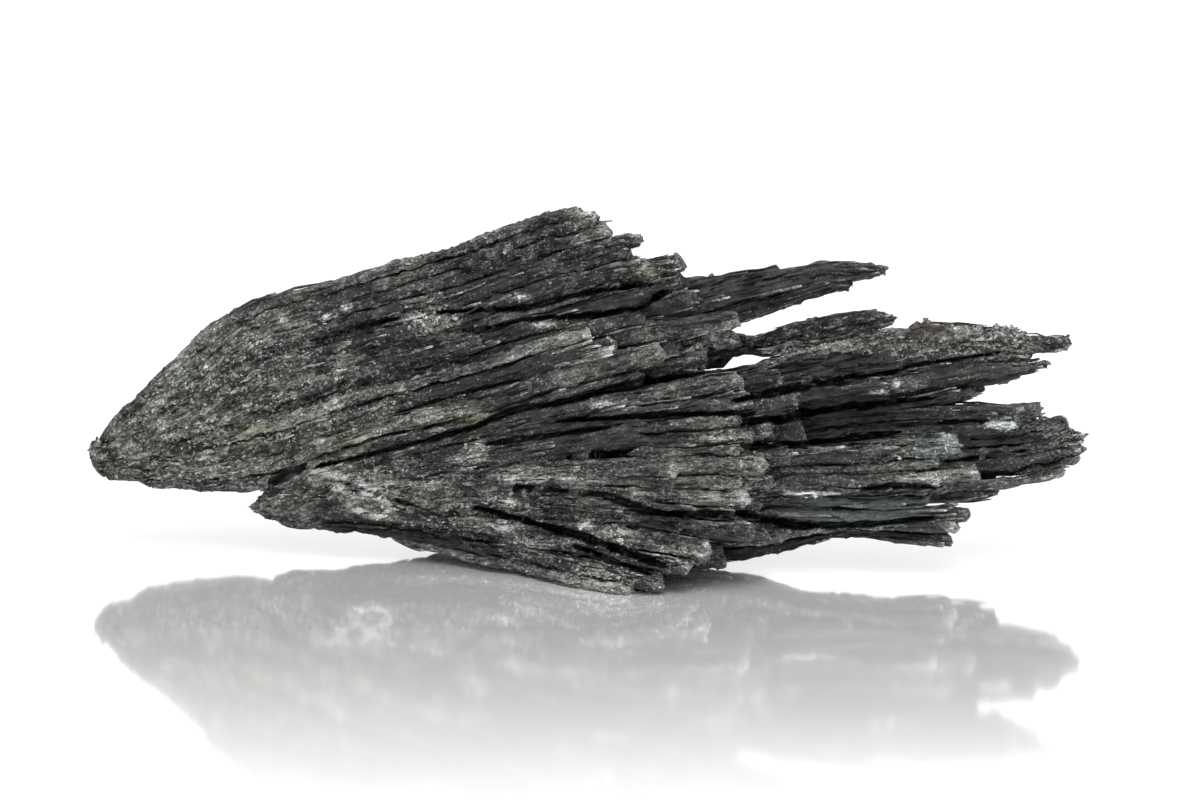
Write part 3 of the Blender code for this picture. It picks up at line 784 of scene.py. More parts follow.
# How many grains cling to a square millimetre at most, the share on bare stone, and what breaks,
# a blade's tone, clean patches and lumps in the crust add to it.
GRAINS_PER_MM2 = 11.0
BARE_STONE = 0.2
BROKEN_GRAINS = 0.6
TONED_GRAINS = 0.35
CLEAN_GRAINS = -0.4
LUMPED_GRAINS = 0.3
# Their length, width and height, which are greater by a share on crusts.
SMALLEST_GRAIN = (0.14, 0.12, 0.08)
LARGEST_GRAIN = (0.46, 0.37, 0.16)
CRUST_GROWTH = 0.2
# On a crust, this share of them are chunks, which are larger.
CHUNK_SHARE = 0.05
CHUNK_GROWTH = 1.5
# How far a grain is turned, how far its corners reach, how uneven it is and how far it stands
# out as shares of its height, how pale it is, and its tone.
GRAIN_TURN = 0.5
GRAIN_REACH = (0.7, 1.2)
GRAIN_UNEVEN = 0.15
GRAIN_STANDS_OUT = 0.3
GRAIN_PALE = (0.15, 0.7)
GRAIN_TONES = (0.35, 0.75)


def drawn_grains(skin, run, dice):
    """Draws places for grains on a skin: each with its way out and along, and how crusted it is."""
    points, faces = np.concatenate(skin.points), np.concatenate(skin.faces)
    broken = np.concatenate(skin.broken)[faces[:, 0]]
    tone = np.concatenate(skin.tone)[faces[:, 0]]
    corners = points[faces]
    # The leaning frame (x, rise, depth) is left-handed, so the way out is opposite.
    outwards = -np.cross(corners[:, 1] - corners[:, 0], corners[:, 2] - corners[:, 0])
    area = np.linalg.norm(outwards, axis=1) / 2
    middle = corners.mean(1)
    crusted = patch_strength(middle, PATCHES["rough"]) + patch_strength(middle, PATCHES["powder"])
    wanted = BARE_STONE + crusted + BROKEN_GRAINS * broken + TONED_GRAINS * (tone - 0.5)
    wanted += CLEAN_GRAINS * patch_strength(middle, PATCHES["clean"])
    wanted = np.clip(wanted + LUMPED_GRAINS * CRUST.at(middle)[:, 0], 0, 1)
    face = np.repeat(np.arange(len(faces)), dice.poisson(GRAINS_PER_MM2 * area * wanted))
    a, b = dice.uniform(0, 1, (2, len(face), 1))
    a, b = np.where(a + b > 1, 1 - a, a), np.where(a + b > 1, 1 - b, b)
    place = corners[face, 0] + a * (corners[face, 1] - corners[face, 0])
    place += b * (corners[face, 2] - corners[face, 0])
    line = line_at(run.ribs, run.stations, 0.5)
    slope = unit(np.gradient(line, axis=0))
    along = np.stack([np.interp(place[:, 0], line[:, 0], slope[:, k]) for k in range(3)], -1)
    return place, unit(outwards[face]), along, wanted[face], crusted[face]


def add_grains(skin, run, tree, dice):
    """Grains that cling to the blades and the heart: where they are rough, powdery or broken."""
    drawn = drawn_grains(skin, run, dice)
    shown = np.flatnonzero(seen(to_world(drawn[0][:, None]), tree, GRAIN_BURIED))
    place, outwards, along, wanted, crusted = (values[shown] for values in drawn)
    count = len(place)
    side = unit(np.cross(outwards, along))
    along = np.cross(side, outwards)
    turn = dice.normal(0, GRAIN_TURN, (count, 1))
    length_axis = along * np.cos(turn) + side * np.sin(turn)
    width_axis = side * np.cos(turn) - along * np.sin(turn)
    half = dice.uniform(SMALLEST_GRAIN, LARGEST_GRAIN, (count, 3)) / 2
    half *= 1 + CRUST_GROWTH * np.minimum(crusted, 1)[:, None]
    is_chunk = dice.uniform(0, 1, (count, 1)) < CHUNK_SHARE * crusted[:, None]
    half *= np.where(is_chunk, CHUNK_GROWTH, 1.0)
    axes = np.stack([length_axis, width_axis, outwards], 1) * half[..., None]
    reach = dice.uniform(*GRAIN_REACH, (count, GRAIN_CORNERS, 1))
    corners = np.concatenate([axes, -axes], 1) * reach
    height = half[:, 2, None, None]
    corners += dice.normal(0, GRAIN_UNEVEN, (count, GRAIN_CORNERS, 3)) * height
    corners += (place + GRAIN_STANDS_OUT * outwards * half[:, 2, None])[:, None]
    pale = dice.uniform(*GRAIN_PALE, count) * (0.5 + 0.5 * wanted)
    skin.add_grains(corners, dice.uniform(*GRAIN_TONES, count), pale, dice)


# Knobs that stand on a sheaf: a middle (x, rise, depth) and the reach along each.
Knob = namedtuple("Knob", "x rise depth reach_x reach_rise reach_depth")
KNOBS = {
    "crown": [(-39.7, 11.4, 13.4, 1, 1, 1.2), (3.1, 28.7, 6.2, 1.2, 0.24, 0.5)],
    "apron": [(-26.5, 6.8, 11.2, 0.8, 0.5, 0.9)],
    "slivers": [(10.6, 20.5, 9, 1.8, 0.7, 1), (7.6, 20.3, 8.8, 1.2, 0.6, 0.8)],
    "upper spray": [
        (27.1, 21.2, 8.6, 1.2, 0.7, 1.1), (24.8, 20.9, 8.4, 1.4, 0.4, 1), (30.8, 20.9, 8, 1.6, 0.6, 1),
        (33.3, 20.9, 8.2, 1.3, 0.6, 0.9), (34.3, 20.8, 8.2, 0.6, 0.5, 0.8),
    ],
    "far spray": [(33.4, 13.5, 8.2, 1.4, 0.35, 0.6)],
    "middle spray": [(28.9, 12.1, 6.2, 0.9, 0.7, 1.2), (26.6, 12, 5.6, 1.2, 0.4, 0.8)],
}
# How finely a knob is modelled, how much of its reach along x its sections cover, how small and
# blunt its ends are, how lumpy and uneven it is, and how broken and pale it looks.
KNOB_RINGS = 16
KNOB_CORNERS = 20
KNOB_SECTIONS = 0.9
KNOB_END = 0.05
KNOB_BLUNTNESS = 0.35
KNOB_LUMPY = 0.4
KNOB_UNEVEN = 0.1
KNOB_BROKEN = 0.5
KNOB_TONE = 0.6


def add_knobs(skin, name, dice):
    """The sheaf's knobs: lumpy closed bodies, on which grains cling as on the blades."""
    axes = tuple(np.broadcast_to(axis, (1, KNOB_RINGS, 3)).astype(float) for axis in np.eye(3))
    t = np.linspace(-1, 1, KNOB_RINGS)[None]
    angle = np.linspace(0, 2 * math.pi, KNOB_CORNERS, endpoint=False)
    size = np.clip(1 - t**2, KNOB_END, 1)[..., None] ** KNOB_BLUNTNESS
    for knob in (Knob(*row) for row in KNOBS.get(name, [])):
        reach = np.array([KNOB_SECTIONS * knob.reach_x, 0, 0])
        centre = np.array([knob.x, knob.rise, knob.depth]) + t[..., None] * reach
        uneven = dice.normal(0, 1, (1, KNOB_RINGS, KNOB_CORNERS))
        lumpy = 1 + KNOB_LUMPY * smoothed(uneven, axis=1, times=1)
        x = np.cos(angle) * size * lumpy * knob.reach_rise
        y = np.sin(angle) * size * lumpy * knob.reach_depth
        ahead = dice.normal(0, KNOB_UNEVEN, x.shape)
        worn = np.full((1, KNOB_RINGS), KNOB_BROKEN)
        skin.add(centre, axes, x, y, ahead, t * knob.reach_x, np.array([KNOB_TONE]), worn, dice)


class Lumps:
    """Smooth random vectors in space: drawn at the points of a grid and joined in between."""

    LOW = np.array([-50.0, -10.0, -10.0])
    HIGH = np.array([50.0, 45.0, 35.0])

    def __init__(self, step, seed):
        self.step = step
        size = np.ceil((self.HIGH - self.LOW) / step).astype(int)
        self.values = np.random.default_rng(seed).normal(0, 1, (*size, 3))

    def at(self, points):
        place = (points - self.LOW) / self.step
        cell = np.floor(place).astype(int)
        t = place - cell
        t = t * t * (3 - 2 * t)
        total = np.zeros_like(points)
        for corner in itertools.product((0, 1), repeat=3):
            share = np.prod(np.where(corner, t, 1 - t), axis=1)
            total += share[:, None] * self.values[tuple((cell + corner).T)]
        return total


# Where more or fewer grains cling, apart from the patches.
CRUST = Lumps(2.6, CRUST_SEED)


def seen(points, tree, buried):
    """Whether any of a strand's points lies outside the solid or less than buried under its face."""
    def is_seen(place):
        point = Vector(place)
        near, normal, _, far = tree.find_nearest(point)
        return (point - near).dot(normal) > 0 or far < buried

    return np.array([any(map(is_seen, strand)) for strand in points], bool)


# The corners of a fibre's section, the numbers of rings that it may have, and their distance.
FIBRE_CORNERS = 5
FIBRE_RINGS = (4, 5, 7, 9, 12)
FIBRE_STEP = 0.9


def add_fibres(skin, run, blades, coat, tree, dice):
    """The sheaf's fibres: thin closed strands with flat sides that end in a break."""
    drawn = drawn_fibres(run, blades, coat, dice)
    lengths = drawn["end"] - drawn["start"]
    wanted = np.clip(lengths / FIBRE_STEP + 2, FIBRE_RINGS[0], FIBRE_RINGS[-1])
    group = np.argmin(np.abs(wanted[:, None] - np.array(FIBRE_RINGS)), 1)
    for g, rings in enumerate(FIBRE_RINGS):
        chosen = np.flatnonzero(group == g)
        if len(chosen):
            part = {name: values[chosen] for name, values in drawn.items()}
            add_fibre_group(skin, run, blades, part, rings, tree, dice)


# How unevenly a fibre's rings are spaced, and how far it wanders to the sides.
RINGS_UNEVEN = 0.3
FIBRE_WANDERS = 0.07
# This share of the fibres has a ledge, where the width falls at a stroke to one of these shares.
LEDGE_SHARE = 0.5
LEDGE_LENGTH = 0.06
LEDGE_LEFT = (0.55, 0.85)
# Where along itself, besides its end, a fibre is looked at to see whether it is buried.
LOOKED_AT = (0.25, 0.6)
# A fibre's share of its width at the root, the share of its length over which it grows, and how
# bluntly, how it thins at its end, and how far from its end it is paler.
FIBRE_ROOT = (0.12, 0.18)
FIBRE_BLUNTNESS = 0.7
FIBRE_THINS_OVER = 0.25
FIBRE_THINNED = 0.62
FIBRE_BROKEN_OVER = 0.8
# How uneven a fibre's section is in angle and in reach, and how uneven and sloping its end is.
SECTION_UNEVEN = 0.25
SECTION_ROUGH = 0.22
FIBRE_END_UNEVEN = 0.05
FIBRE_END_SLOPE = 0.5


def add_fibre_group(skin, run, blades, f, rings, tree, dice):
    """Adds the fibres f, which all have this many rings, apart from those that can't be seen."""
    count = len(f["which"])
    uneven = dice.uniform(-RINGS_UNEVEN, RINGS_UNEVEN, (count, rings)) / rings
    t = np.linspace(0, 1, rings)[None] + uneven
    t[:, 0], t[:, -1] = 0, 1
    ledge = dice.integers(1, rings - 1, count)
    has_ledge = dice.uniform(0, 1, count) < LEDGE_SHARE
    row = np.arange(count)
    length = f["end"] - f["start"]
    t[row, ledge] = np.where(has_ledge, t[row, ledge - 1] + LEDGE_LENGTH / length, t[row, ledge])
    t = np.maximum.accumulate(t, 1)
    distance = f["start"][:, None] + length[:, None] * t
    middle, along, across, inwards, width, thick = frames_at(run, blades, f["which"], distance)
    wander = FIBRE_WANDERS * smoothed(dice.normal(0, 1, (2, count, rings)), axis=2, times=3)
    v = f["v"][:, None]
    lift = blades.lift[f["which"]][:, None]
    out = f["out"][:, None]
    x = (f["u"][:, None] + f["drift"][:, None] * (t - 0.5)) * width * (1 + BEVEL * v)
    y = (v + lift) * thick
    x = x + f["normal_x"][:, None] * out + wander[0]
    y = y + f["normal_y"][:, None] * out + wander[1]
    roll = blades.roll[f["which"]][:, None]
    x, y = turned(x, y, roll)

    sample = [int(rings * share) for share in LOOKED_AT] + [rings - 1]
    places = middle + across * x[..., None] + inwards * y[..., None]
    keep = np.flatnonzero(seen(to_world(places[:, sample]), tree, BURIED))
    if not len(keep):
        return

    at_root, root = FIBRE_ROOT
    from_end = (1 - t) * length[:, None]
    size = np.clip(t / root, at_root, 1) ** FIBRE_BLUNTNESS
    size = size * np.clip(from_end / FIBRE_THINS_OVER, FIBRE_THINNED, 1)
    after_ledge = (np.arange(rings)[None] >= ledge[:, None]) & has_ledge[:, None]
    size = size * np.where(after_ledge, dice.uniform(*LEDGE_LEFT, (count, 1)), 1)
    spread = (np.arange(FIBRE_CORNERS) + 0.5) / FIBRE_CORNERS * 2 * math.pi
    angle = spread + dice.normal(0, SECTION_UNEVEN, (count, 1, FIBRE_CORNERS))
    uneven = smoothed(dice.normal(0, 1, (count, rings, FIBRE_CORNERS)), axis=1, times=1)
    half = 0.5 * f["width"][:, None, None] * size[..., None] * (1 + SECTION_ROUGH * uneven)
    a = np.cos(angle) * half
    b = np.sin(angle) * half * f["flat"][:, None, None]
    a, b = turned(a, b, (roll + f["turn"][:, None])[..., None])
    jag = dice.normal(0, FIBRE_END_UNEVEN, (count, FIBRE_CORNERS))
    jag = jag + dice.normal(0, FIBRE_END_SLOPE, (count, 1)) * a[:, -1]
    ahead = np.zeros_like(a)
    ahead[:, -1] = jag + blades.slant[f["which"]][:, None] * x[:, -1, None]
    ahead[:, -2] = 0.5 * ahead[:, -1]
    broken = np.clip(1 - from_end / FIBRE_BROKEN_OVER, 0, 1)
    axes = tuple(axis[keep] for axis in (along, across, inwards))
    skin.add(
        middle[keep], axes, (x[..., None] + a)[keep], (y[..., None] + b)[keep], ahead[keep],
        distance[keep], f["tone"][keep], broken[keep], dice,
    )


# Deep clefts in the front, where bundles of blades stand apart. Each has a depth and a line of
# places (x, rise, half width).
Cleft = namedtuple("Cleft", "depth line")
CLEFTS = [
    # under the crown's upper fan
    Cleft(2.8, [
        (-12, 22.6, 0.1), (-5, 23, 0.22), (-3, 23.5, 0.28), (-1, 24, 0.18), (1, 24.4, 0.25),
        (5, 24.8, 0.1),
    ]),
    # under its dark lath
    Cleft(2.4, [
        (-10, 21.2, 0.1), (-8, 21.3, 0.2), (-5, 22.1, 0.12), (1, 22.4, 0.25), (4, 22.9, 0.2),
        (6, 24.2, 0.25),
    ]),
    # between crown and apron
    Cleft(2.6, [
        (-22, 10.2, 0.1), (-15, 11.8, 0.2), (-9, 13.4, 0.25), (-6, 14.8, 0.3), (-2, 15.4, 0.2),
        (1.5, 16.4, 0.35), (4.5, 16.9, 0.5), (8, 17.5, 0.2),
    ]),
    # crown, upper left
    Cleft(1.2, [(-22, 20.5, 0.1), (-17, 21.8, 0.25), (-15, 22.2, 0.1)]),
    # crown, middle left
    Cleft(1, [(-22.5, 15.8, 0.2), (-19.5, 17.1, 0.1)]),
    # crown, low left
    Cleft(0.8, [(-15, 14.6, 0.1), (-11, 15.9, 0.15), (-5.5, 17.2, 0.1)]),
    # behind the apron's root
    Cleft(2, [(-25.5, 9, 0.3), (-24, 9.7, 0.5), (-23, 10.2, 0.3)]),
    # apron, top
    Cleft(2, [(-8, 12.1, 0.2), (-5, 12.5, 0.25), (1.5, 13.4, 0.15)]),
    # middle spray, top
    Cleft(2, [(-2, 13.9, 0.1), (5, 14.4, 0.25), (13, 14.6, 0.15)]),
    # apron, notch
    Cleft(2, [(-1.5, 11, 0.2), (2.5, 11.3, 0.3)]),
    # apron, upper laths
    Cleft(2.2, [(-6.5, 8.8, 0.15), (1.5, 8, 0.3), (3.5, 7.2, 0.4), (6, 6.6, 0.25), (12.5, 6.6, 0.25)]),
    # apron, middle laths
    Cleft(2.6, [(-9, 7, 0.2), (-3, 5.4, 0.3), (0.5, 4.5, 0.4), (6, 2.5, 0.25)]),
    # apron, low laths
    Cleft(1.8, [(-1, 4, 0.15), (2, 2.9, 0.25), (5, 1.8, 0.2)]),
    # apron, root
    Cleft(0.9, [(-20, 9, 0.1), (-13.5, 7, 0.15)]),
    # above the shelf
    Cleft(2.8, [(12, 15.6, 0.25), (17, 16.6, 0.35), (21, 17.2, 0.3), (25, 17.9, 0.15)]),
    # over the far spray
    Cleft(2.8, [(13, 13.9, 0.3), (17, 14.5, 0.35), (21, 15, 0.15), (24, 15.4, 0.25), (28, 15.8, 0.05)]),
    # over the middle spray
    Cleft(2.8, [(13, 11.8, 0.35), (17, 12, 0.2), (20, 12.3, 0.3), (23, 12.7, 0.25), (25.5, 13.1, 0.05)]),
    # under the grey lath
    Cleft(2.4, [(12, 6.6, 0.25), (17, 5.5, 0.3), (23, 5.7, 0.25), (27.5, 6.2, 0.2)]),
    # middle spray, low
    Cleft(1.4, [(22, 8.5, 0.15), (24.5, 8.8, 0.25), (28, 8.6, 0.15)]),
    # far spray, low
    Cleft(1.2, [(29, 10.6, 0.15), (35.5, 11.5, 0.1)]),
    # upper spray, low
    Cleft(1.2, [(25.5, 18.2, 0.1), (29, 18.8, 0.15), (33, 19.4, 0.1)]),
]
# Waves (along x, along rise, start) that make the walls of a cleft ragged, and by how much.
CLEFT_WAVES = [(1.1, 0.6, 0.0), (2.3, -1.3, 1.0), (3.7, 4.1, 2.0)]
CLEFT_RAGGED = 0.16
# How steep its walls are, how far behind the front face it pushes and over what length that
# fades, and how far apart the places are at which the front face is looked for, from far before.
CLEFT_STEEP = 2.4
CLEFT_REACH = 3.6
CLEFT_FADE = 1.5
CLEFT_STEP = 0.8
FAR_BEFORE = 60.0


def front_depth(tree, x, rise):
    """The depth of the solid's front face at (x, rise)."""
    origin = to_world(np.array([x, rise, -FAR_BEFORE]))
    way = to_world(np.array([x, rise, 0.0])) - origin
    hit = tree.ray_cast(Vector(origin), Vector(way))
    return hit[3] / MM - FAR_BEFORE if hit[0] is not None else None


def finer(line):
    """The line with places in between, so that none is further from the next than CLEFT_STEP."""
    along = np.concatenate([[0], np.cumsum(np.linalg.norm(np.diff(line[:, :2], axis=0), axis=1))])
    places = np.linspace(0, along[-1], math.ceil(along[-1] / CLEFT_STEP) + 1)
    return np.stack([np.interp(places, along, line[:, k]) for k in range(3)], -1)


def cleft_depth(points, tree):
    """How far the clefts push points (x, rise, depth) inwards."""
    pushed = np.zeros(len(points))
    for cleft in CLEFTS:
        line = finer(np.array(cleft.line, float))
        fronts = [front_depth(tree, x, rise) for x, rise, _ in line]
        known = [front for front in fronts if front is not None]
        fronts = [min(known) if front is None else front for front in fronts]
        margin = 2 * line[:, 2].max()
        low, high = line[:, :2].min(0) - margin, line[:, :2].max(0) + margin
        near = np.flatnonzero(((points[:, :2] > low) & (points[:, :2] < high)).all(1))
        if not len(near):
            continue
        place = points[near]
        ragged = 1 + CLEFT_RAGGED * sum(
            np.sin(place[:, 0] * across + place[:, 1] * up + start)
            for across, up, start in CLEFT_WAVES
        )
        for a, b, front_a, front_b in zip(line[:-1], line[1:], fronts[:-1], fronts[1:]):
            way = b[:2] - a[:2]
            t = ((place[:, :2] - a[:2]) @ way / (way @ way)).clip(0, 1)
            away = np.linalg.norm(place[:, :2] - a[:2] - t[:, None] * way, axis=1)
            half_width = (a[2] + t * (b[2] - a[2])) * ragged
            profile = np.clip((1 - away / half_width) * CLEFT_STEEP, 0, 1)
            behind = place[:, 2] - (front_a + t * (front_b - front_a))
            share = np.clip((CLEFT_REACH - behind) / CLEFT_FADE, 0, 1)
            pushed[near] = np.maximum(pushed[near], cleft.depth * profile * share)
    return pushed


# The slit over the upper spray through which the background shows: its line (x, rise), and how far
# and within what distance the blades stand off from it. It opens and closes over SLIT_FADES, and
# the push turns round over SLIT_EDGE.
SLIT = np.array([(8.8, 18.1), (10.4, 18.5), (11.8, 18.7), (12.6, 18.82), (14.2, 19.05)])
SLIT_OPENING = 0.35
SLIT_REACH = 1.2
SLIT_EDGE = 0.08
SLIT_FADES = (2.4, 0.6)


def slit_push(points):
    """How far the slit pushes points (x, rise, depth) up or down along the rise."""
    x = points[:, 0]
    above = points[:, 1] - np.interp(x, SLIT[:, 0], SLIT[:, 1])
    open_here = np.minimum((x - SLIT[0, 0]) / SLIT_FADES[0], (SLIT[-1, 0] - x) / SLIT_FADES[1])
    share = np.clip(1 - np.abs(above) / SLIT_REACH, 0, 1) * np.clip(open_here, 0, 1)
    return SLIT_OPENING * np.clip(above / SLIT_EDGE, -1, 1) * share


# Patches where the surface is powdery white, crusted, stained, clean or filmed over. Each is a
# middle (x, rise, depth), its reach along x and rise, its strength, and its reach along depth.
# It has its full strength within half of its reach, and none beyond one and a half of it.
Patch = namedtuple("Patch", "x rise depth reach_x reach_rise strength reach_depth", defaults=[3])
PATCH_END = 1.5
PATCH_ROWS = {
    "powder": [
        (-17.6, 8.4, 6.4, 3.6, 1.6, 1, 4), (-20.4, 9.6, 7.6, 2.4, 1.2, 0.8), (-15, 6.4, 6, 2, 1.4, 0.8),
        (-12.4, 22, 5, 2.2, 1.2, 0.8), (10.6, 20.6, 6.4, 2.2, 1, 1, 4), (5, 25.8, 4.8, 0.9, 0.7, 0.9),
        (33.4, 13.6, 7.6, 1.5, 0.5, 2), (17.6, 8.1, 4, 1.6, 0.25, 2.6), (-31, 12.5, 10, 8, 4, 0.6, 5),
        (-23, 14.5, 8, 9, 5, 0.55, 4), (-27, 18.5, 8.5, 8, 4, 0.55, 5),
        (-27.3, 13.2, 8.5, 1.2, 0.4, 1.2, 4), (-18.2, 12.4, 6.5, 1.3, 0.4, 1.2, 4),
        (1, 21, 3.6, 4, 1.4, 0.4), (26, 10.6, 4.8, 4, 1.6, 0.5), (4, 2.6, 1, 3.4, 2.2, 0.4, 4),
        (-12, 6.6, 5, 6, 1.6, 0.5, 4), (-6, 9.8, 4, 6, 1, 0.35, 4), (-4, 3.8, 4, 5, 1.4, 0.35, 4),
        # crusts along the apron's laths and on their ends
        (-2.4, 9.3, 4, 5, 0.4, 1.2), (-13, 8.9, 5.5, 2, 0.3, 1), (-7.8, 7.8, 4.5, 1.6, 0.8, 0.8),
        (-7.4, 5.4, 4.5, 1.3, 0.5, 1.2), (-5.6, 4.2, 4, 1.3, 0.5, 1.2), (-0.2, 5.7, 2.6, 0.5, 0.4, 1.8),
        (2.6, 4.8, 2.2, 2, 0.7, 0.8), (7.6, 3.4, 1.6, 2.4, 0.8, 0.7), (0, 1.4, 2, 3, 1.2, 0.7, 4),
        (6.8, 9.9, 3.4, 0.3, 0.7, 1.2), (10.5, 12.7, 3.4, 2.8, 0.6, 0.8), (13, 9.6, 3.4, 1.2, 2, 0.6),
        (12.4, 7.6, 3.4, 0.7, 0.6, 1.4), (12.7, 5.4, 5.5, 0.8, 0.4, 1), (-8.8, 11.6, 4.6, 1, 0.9, 0.9),
        # crusts along the crown's lower edge and on the upper spray
        (-12.2, 14.4, 5.5, 1.4, 0.6, 0.8), (-9, 14.4, 5, 1.8, 0.4, 1), (1.2, 15.2, 4, 1, 0.3, 1.5),
        (3.5, 15.2, 4, 1.2, 0.4, 1), (19.5, 19.9, 7.6, 6, 0.7, 0.6), (26, 19.6, 7.6, 4, 0.7, 0.35),
        (33, 20.9, 8, 1.6, 0.9, 0.8),
        # bright streaks at the apron's root
        (-21.6, 9.8, 8, 0.6, 0.2, 4), (-20.7, 9.6, 8, 0.6, 0.2, 4), (-19.8, 9.35, 8, 0.6, 0.2, 4),
        (-20.2, 8.6, 8, 0.6, 0.4, 1.8), (-17.6, 8.3, 7.5, 0.5, 0.25, 3.6),
        (-16.7, 7.9, 7.5, 0.5, 0.25, 3.6), (-16.2, 7.1, 7.5, 0.3, 0.6, 2.4),
        (-18.4, 6.7, 7.5, 0.6, 0.2, 3.6), (-17.2, 6.3, 7.5, 0.7, 0.25, 3.6),
        # bright spots on the crown
        (-13.6, 22.2, 5.5, 0.8, 0.5, 1.8), (-5.3, 23.8, 5, 0.8, 0.35, 1.5, 2.5),
        (-3.4, 21.6, 4.6, 1, 0.2, 1.7, 2.5), (-24.6, 22.1, 8, 0.6, 0.4, 1.6),
        (-21, 22.2, 7, 0.4, 0.4, 1.6), (-19.4, 23.1, 7, 0.5, 0.3, 1.6), (-25.4, 17, 8, 0.5, 0.4, 1.5),
        (-20, 18.2, 7, 0.6, 0.4, 1.4), (-37, 13.9, 11.5, 0.5, 0.4, 1.2),
        # bright spots on the apron and the sprays
        (-9.6, 10.9, 5, 1.4, 0.3, 1.5), (-11.3, 6.8, 5, 0.4, 0.4, 1.6), (-6.4, 7.5, 3.8, 0.6, 0.4, 1.6),
        (9.4, 4.2, 2.6, 0.4, 0.4, 1.6), (27.8, 8.9, 5, 0.3, 0.5, 2.2), (23.5, 16.2, 6, 0.8, 0.2, 1.6),
        (20.4, 12, 5, 0.6, 0.3, 1.5), (14.8, 19.6, 7.6, 3, 0.6, 1), (24.9, 16.8, 6, 0.3, 0.5, 2.4),
        (29, 12, 5.4, 1, 0.8, 1), (26.4, 9.6, 4.8, 2.6, 0.9, 0.9), (31, 20.2, 7.6, 4, 0.8, 0.45),
        (13, 12.8, 4.4, 2.4, 0.4, 0.9), (10.6, 8, 3.2, 2.6, 0.8, 0.5),
    ],
    "rough": [
        (-31, 13, 9.5, 12, 6.5, 0.6, 6), (-18, 18, 7, 9, 7, 0.4, 5), (-6, 28.4, 5.5, 12, 2.4, 0.6, 5),
        (-37, 11.5, 12, 5, 3.5, 0.9, 4), (3, 27.5, 5, 5, 3.4, 0.6, 5), (10.8, 20.6, 8.6, 1.9, 0.9, 1),
        (22, 20.6, 7.6, 12, 1.4, 0.7), (34, 20.4, 7.6, 6, 1.4, 0.8), (-19, 8.4, 7.4, 6, 2.2, 0.7, 4),
        (-26, 7.2, 10.2, 2.4, 1.6, 0.7), (38, 12.6, 8.4, 3.4, 3, 0.5), (26, 10.8, 4.8, 4, 2, 0.4),
        (6, 3, 1, 4.4, 2.6, 0.4, 4), (-9, 7.6, 5, 8, 3, 0.6, 4), (4, 6, 2.4, 5, 2, 0.5, 4),
        (-3, 3.4, 3, 9, 2, 0.65, 4), (12, 11, 4, 3, 6, 0.5, 4),
    ],
    "ochre": [
        (-27.3, 13.2, 8.5, 1.4, 0.5, 1.3, 4), (-18.2, 12.4, 6.5, 1.4, 0.4, 1.4, 4),
        (-25, 12.6, 8.5, 6, 2, 0.25, 4), (-33, 10.4, 10.5, 3.4, 0.8, 0.4, 4),
        (4.9, 25.7, 4.6, 0.9, 0.6, 0.7), (-20.6, 9.9, 7.5, 1.6, 0.8, 0.6), (-16, 9.3, 7, 0.8, 0.4, 0.9),
        (-17.3, 6.6, 7.5, 1.4, 0.6, 0.3), (-38.5, 12, 12, 3, 3, 0.25, 4), (-9.6, 14, 5, 2, 0.5, 0.7),
    ],
    "rust": [
        (27.1, 21.2, 8.4, 1.6, 0.9, 1), (-12, 21.2, 5, 0.6, 0.5, 0.6),
        (31.6, 17.7, 7.8, 2.4, 0.4, 0.35), (24.8, 13, 6.5, 1, 0.5, 0.6), (1.6, 3.1, 1.8, 2.4, 0.4, 0.6),
    ],
    "clean": [
        (2.5, 13.7, 4.2, 8, 1.2, 0.9), (2.4, 23.5, 4.8, 3.2, 1, 1), (8.2, 21.9, 6, 2.4, 0.7, 0.8),
        (20.8, 18.5, 7.8, 4, 0.8, 1.2), (21.4, 14.2, 7, 5.5, 1.6, 1.2, 4), (31, 17.6, 7.6, 4, 0.8, 0.7),
        (32.4, 12, 8, 3.2, 1, 1), (25.6, 8.4, 4.6, 2.6, 0.5, 0.9), (7.4, 7, 3, 5.4, 0.5, 1),
        (5.6, 5.9, 2.5, 1.6, 0.6, 0.8), (-3, 5, 3.5, 2, 0.5, 0.9), (1, 3.6, 2.5, 1.8, 0.5, 0.9),
        (4, 2.6, 1.5, 1.4, 0.4, 0.9), (16, 25, 6.5, 7, 1.6, 0.7), (-24, 11.4, 9, 4, 0.7, 0.5),
        (10.4, 22.2, 5.5, 1.6, 0.6, 1), (13, 17.9, 7, 2.6, 0.8, 0.9), (-18.8, 8.3, 7.5, 0.6, 0.3, 1.8),
        (-17.6, 7.4, 7.5, 0.5, 0.2, 1.8), (-20.8, 7.2, 8, 1.1, 0.2, 1.4),
    ],
    "film": [
        (22, 6.6, 4.2, 5.6, 0.9, 0.8, 2.6), (29, 11.6, 5.2, 2.4, 1.2, 0.5, 2.6),
    ],
}
PATCHES = {kind: [Patch(*row) for row in rows] for kind, rows in PATCH_ROWS.items()}


def patch_strength(points, patches):
    """How strong the patches of one kind are at points (x, rise, depth)."""
    strength = np.zeros(len(points))
    for p in patches:
        away = (points - (p.x, p.rise, p.depth)) / (p.reach_x, p.reach_rise, p.reach_depth)
        near = np.clip(PATCH_END - np.linalg.norm(away, axis=1), 0, 1)
        strength = np.maximum(strength, p.strength * near)
    return strength


# Edges sharper than this are shown sharp.
SHARP = math.radians(38)
# How far the lumps that all pieces share move the surface along x, rise and depth, large lumps
# and small ones. They move a smooth place by half of that, and a rough one by more.
LUMPS = [
    (np.array([0.05, 0.1, 0.18]), Lumps(1.3, LARGE_LUMP_SEED)),
    (np.array([0.03, 0.08, 0.11]), Lumps(0.55, SMALL_LUMP_SEED)),
]
LUMPS_WHERE_SMOOTH = 0.5


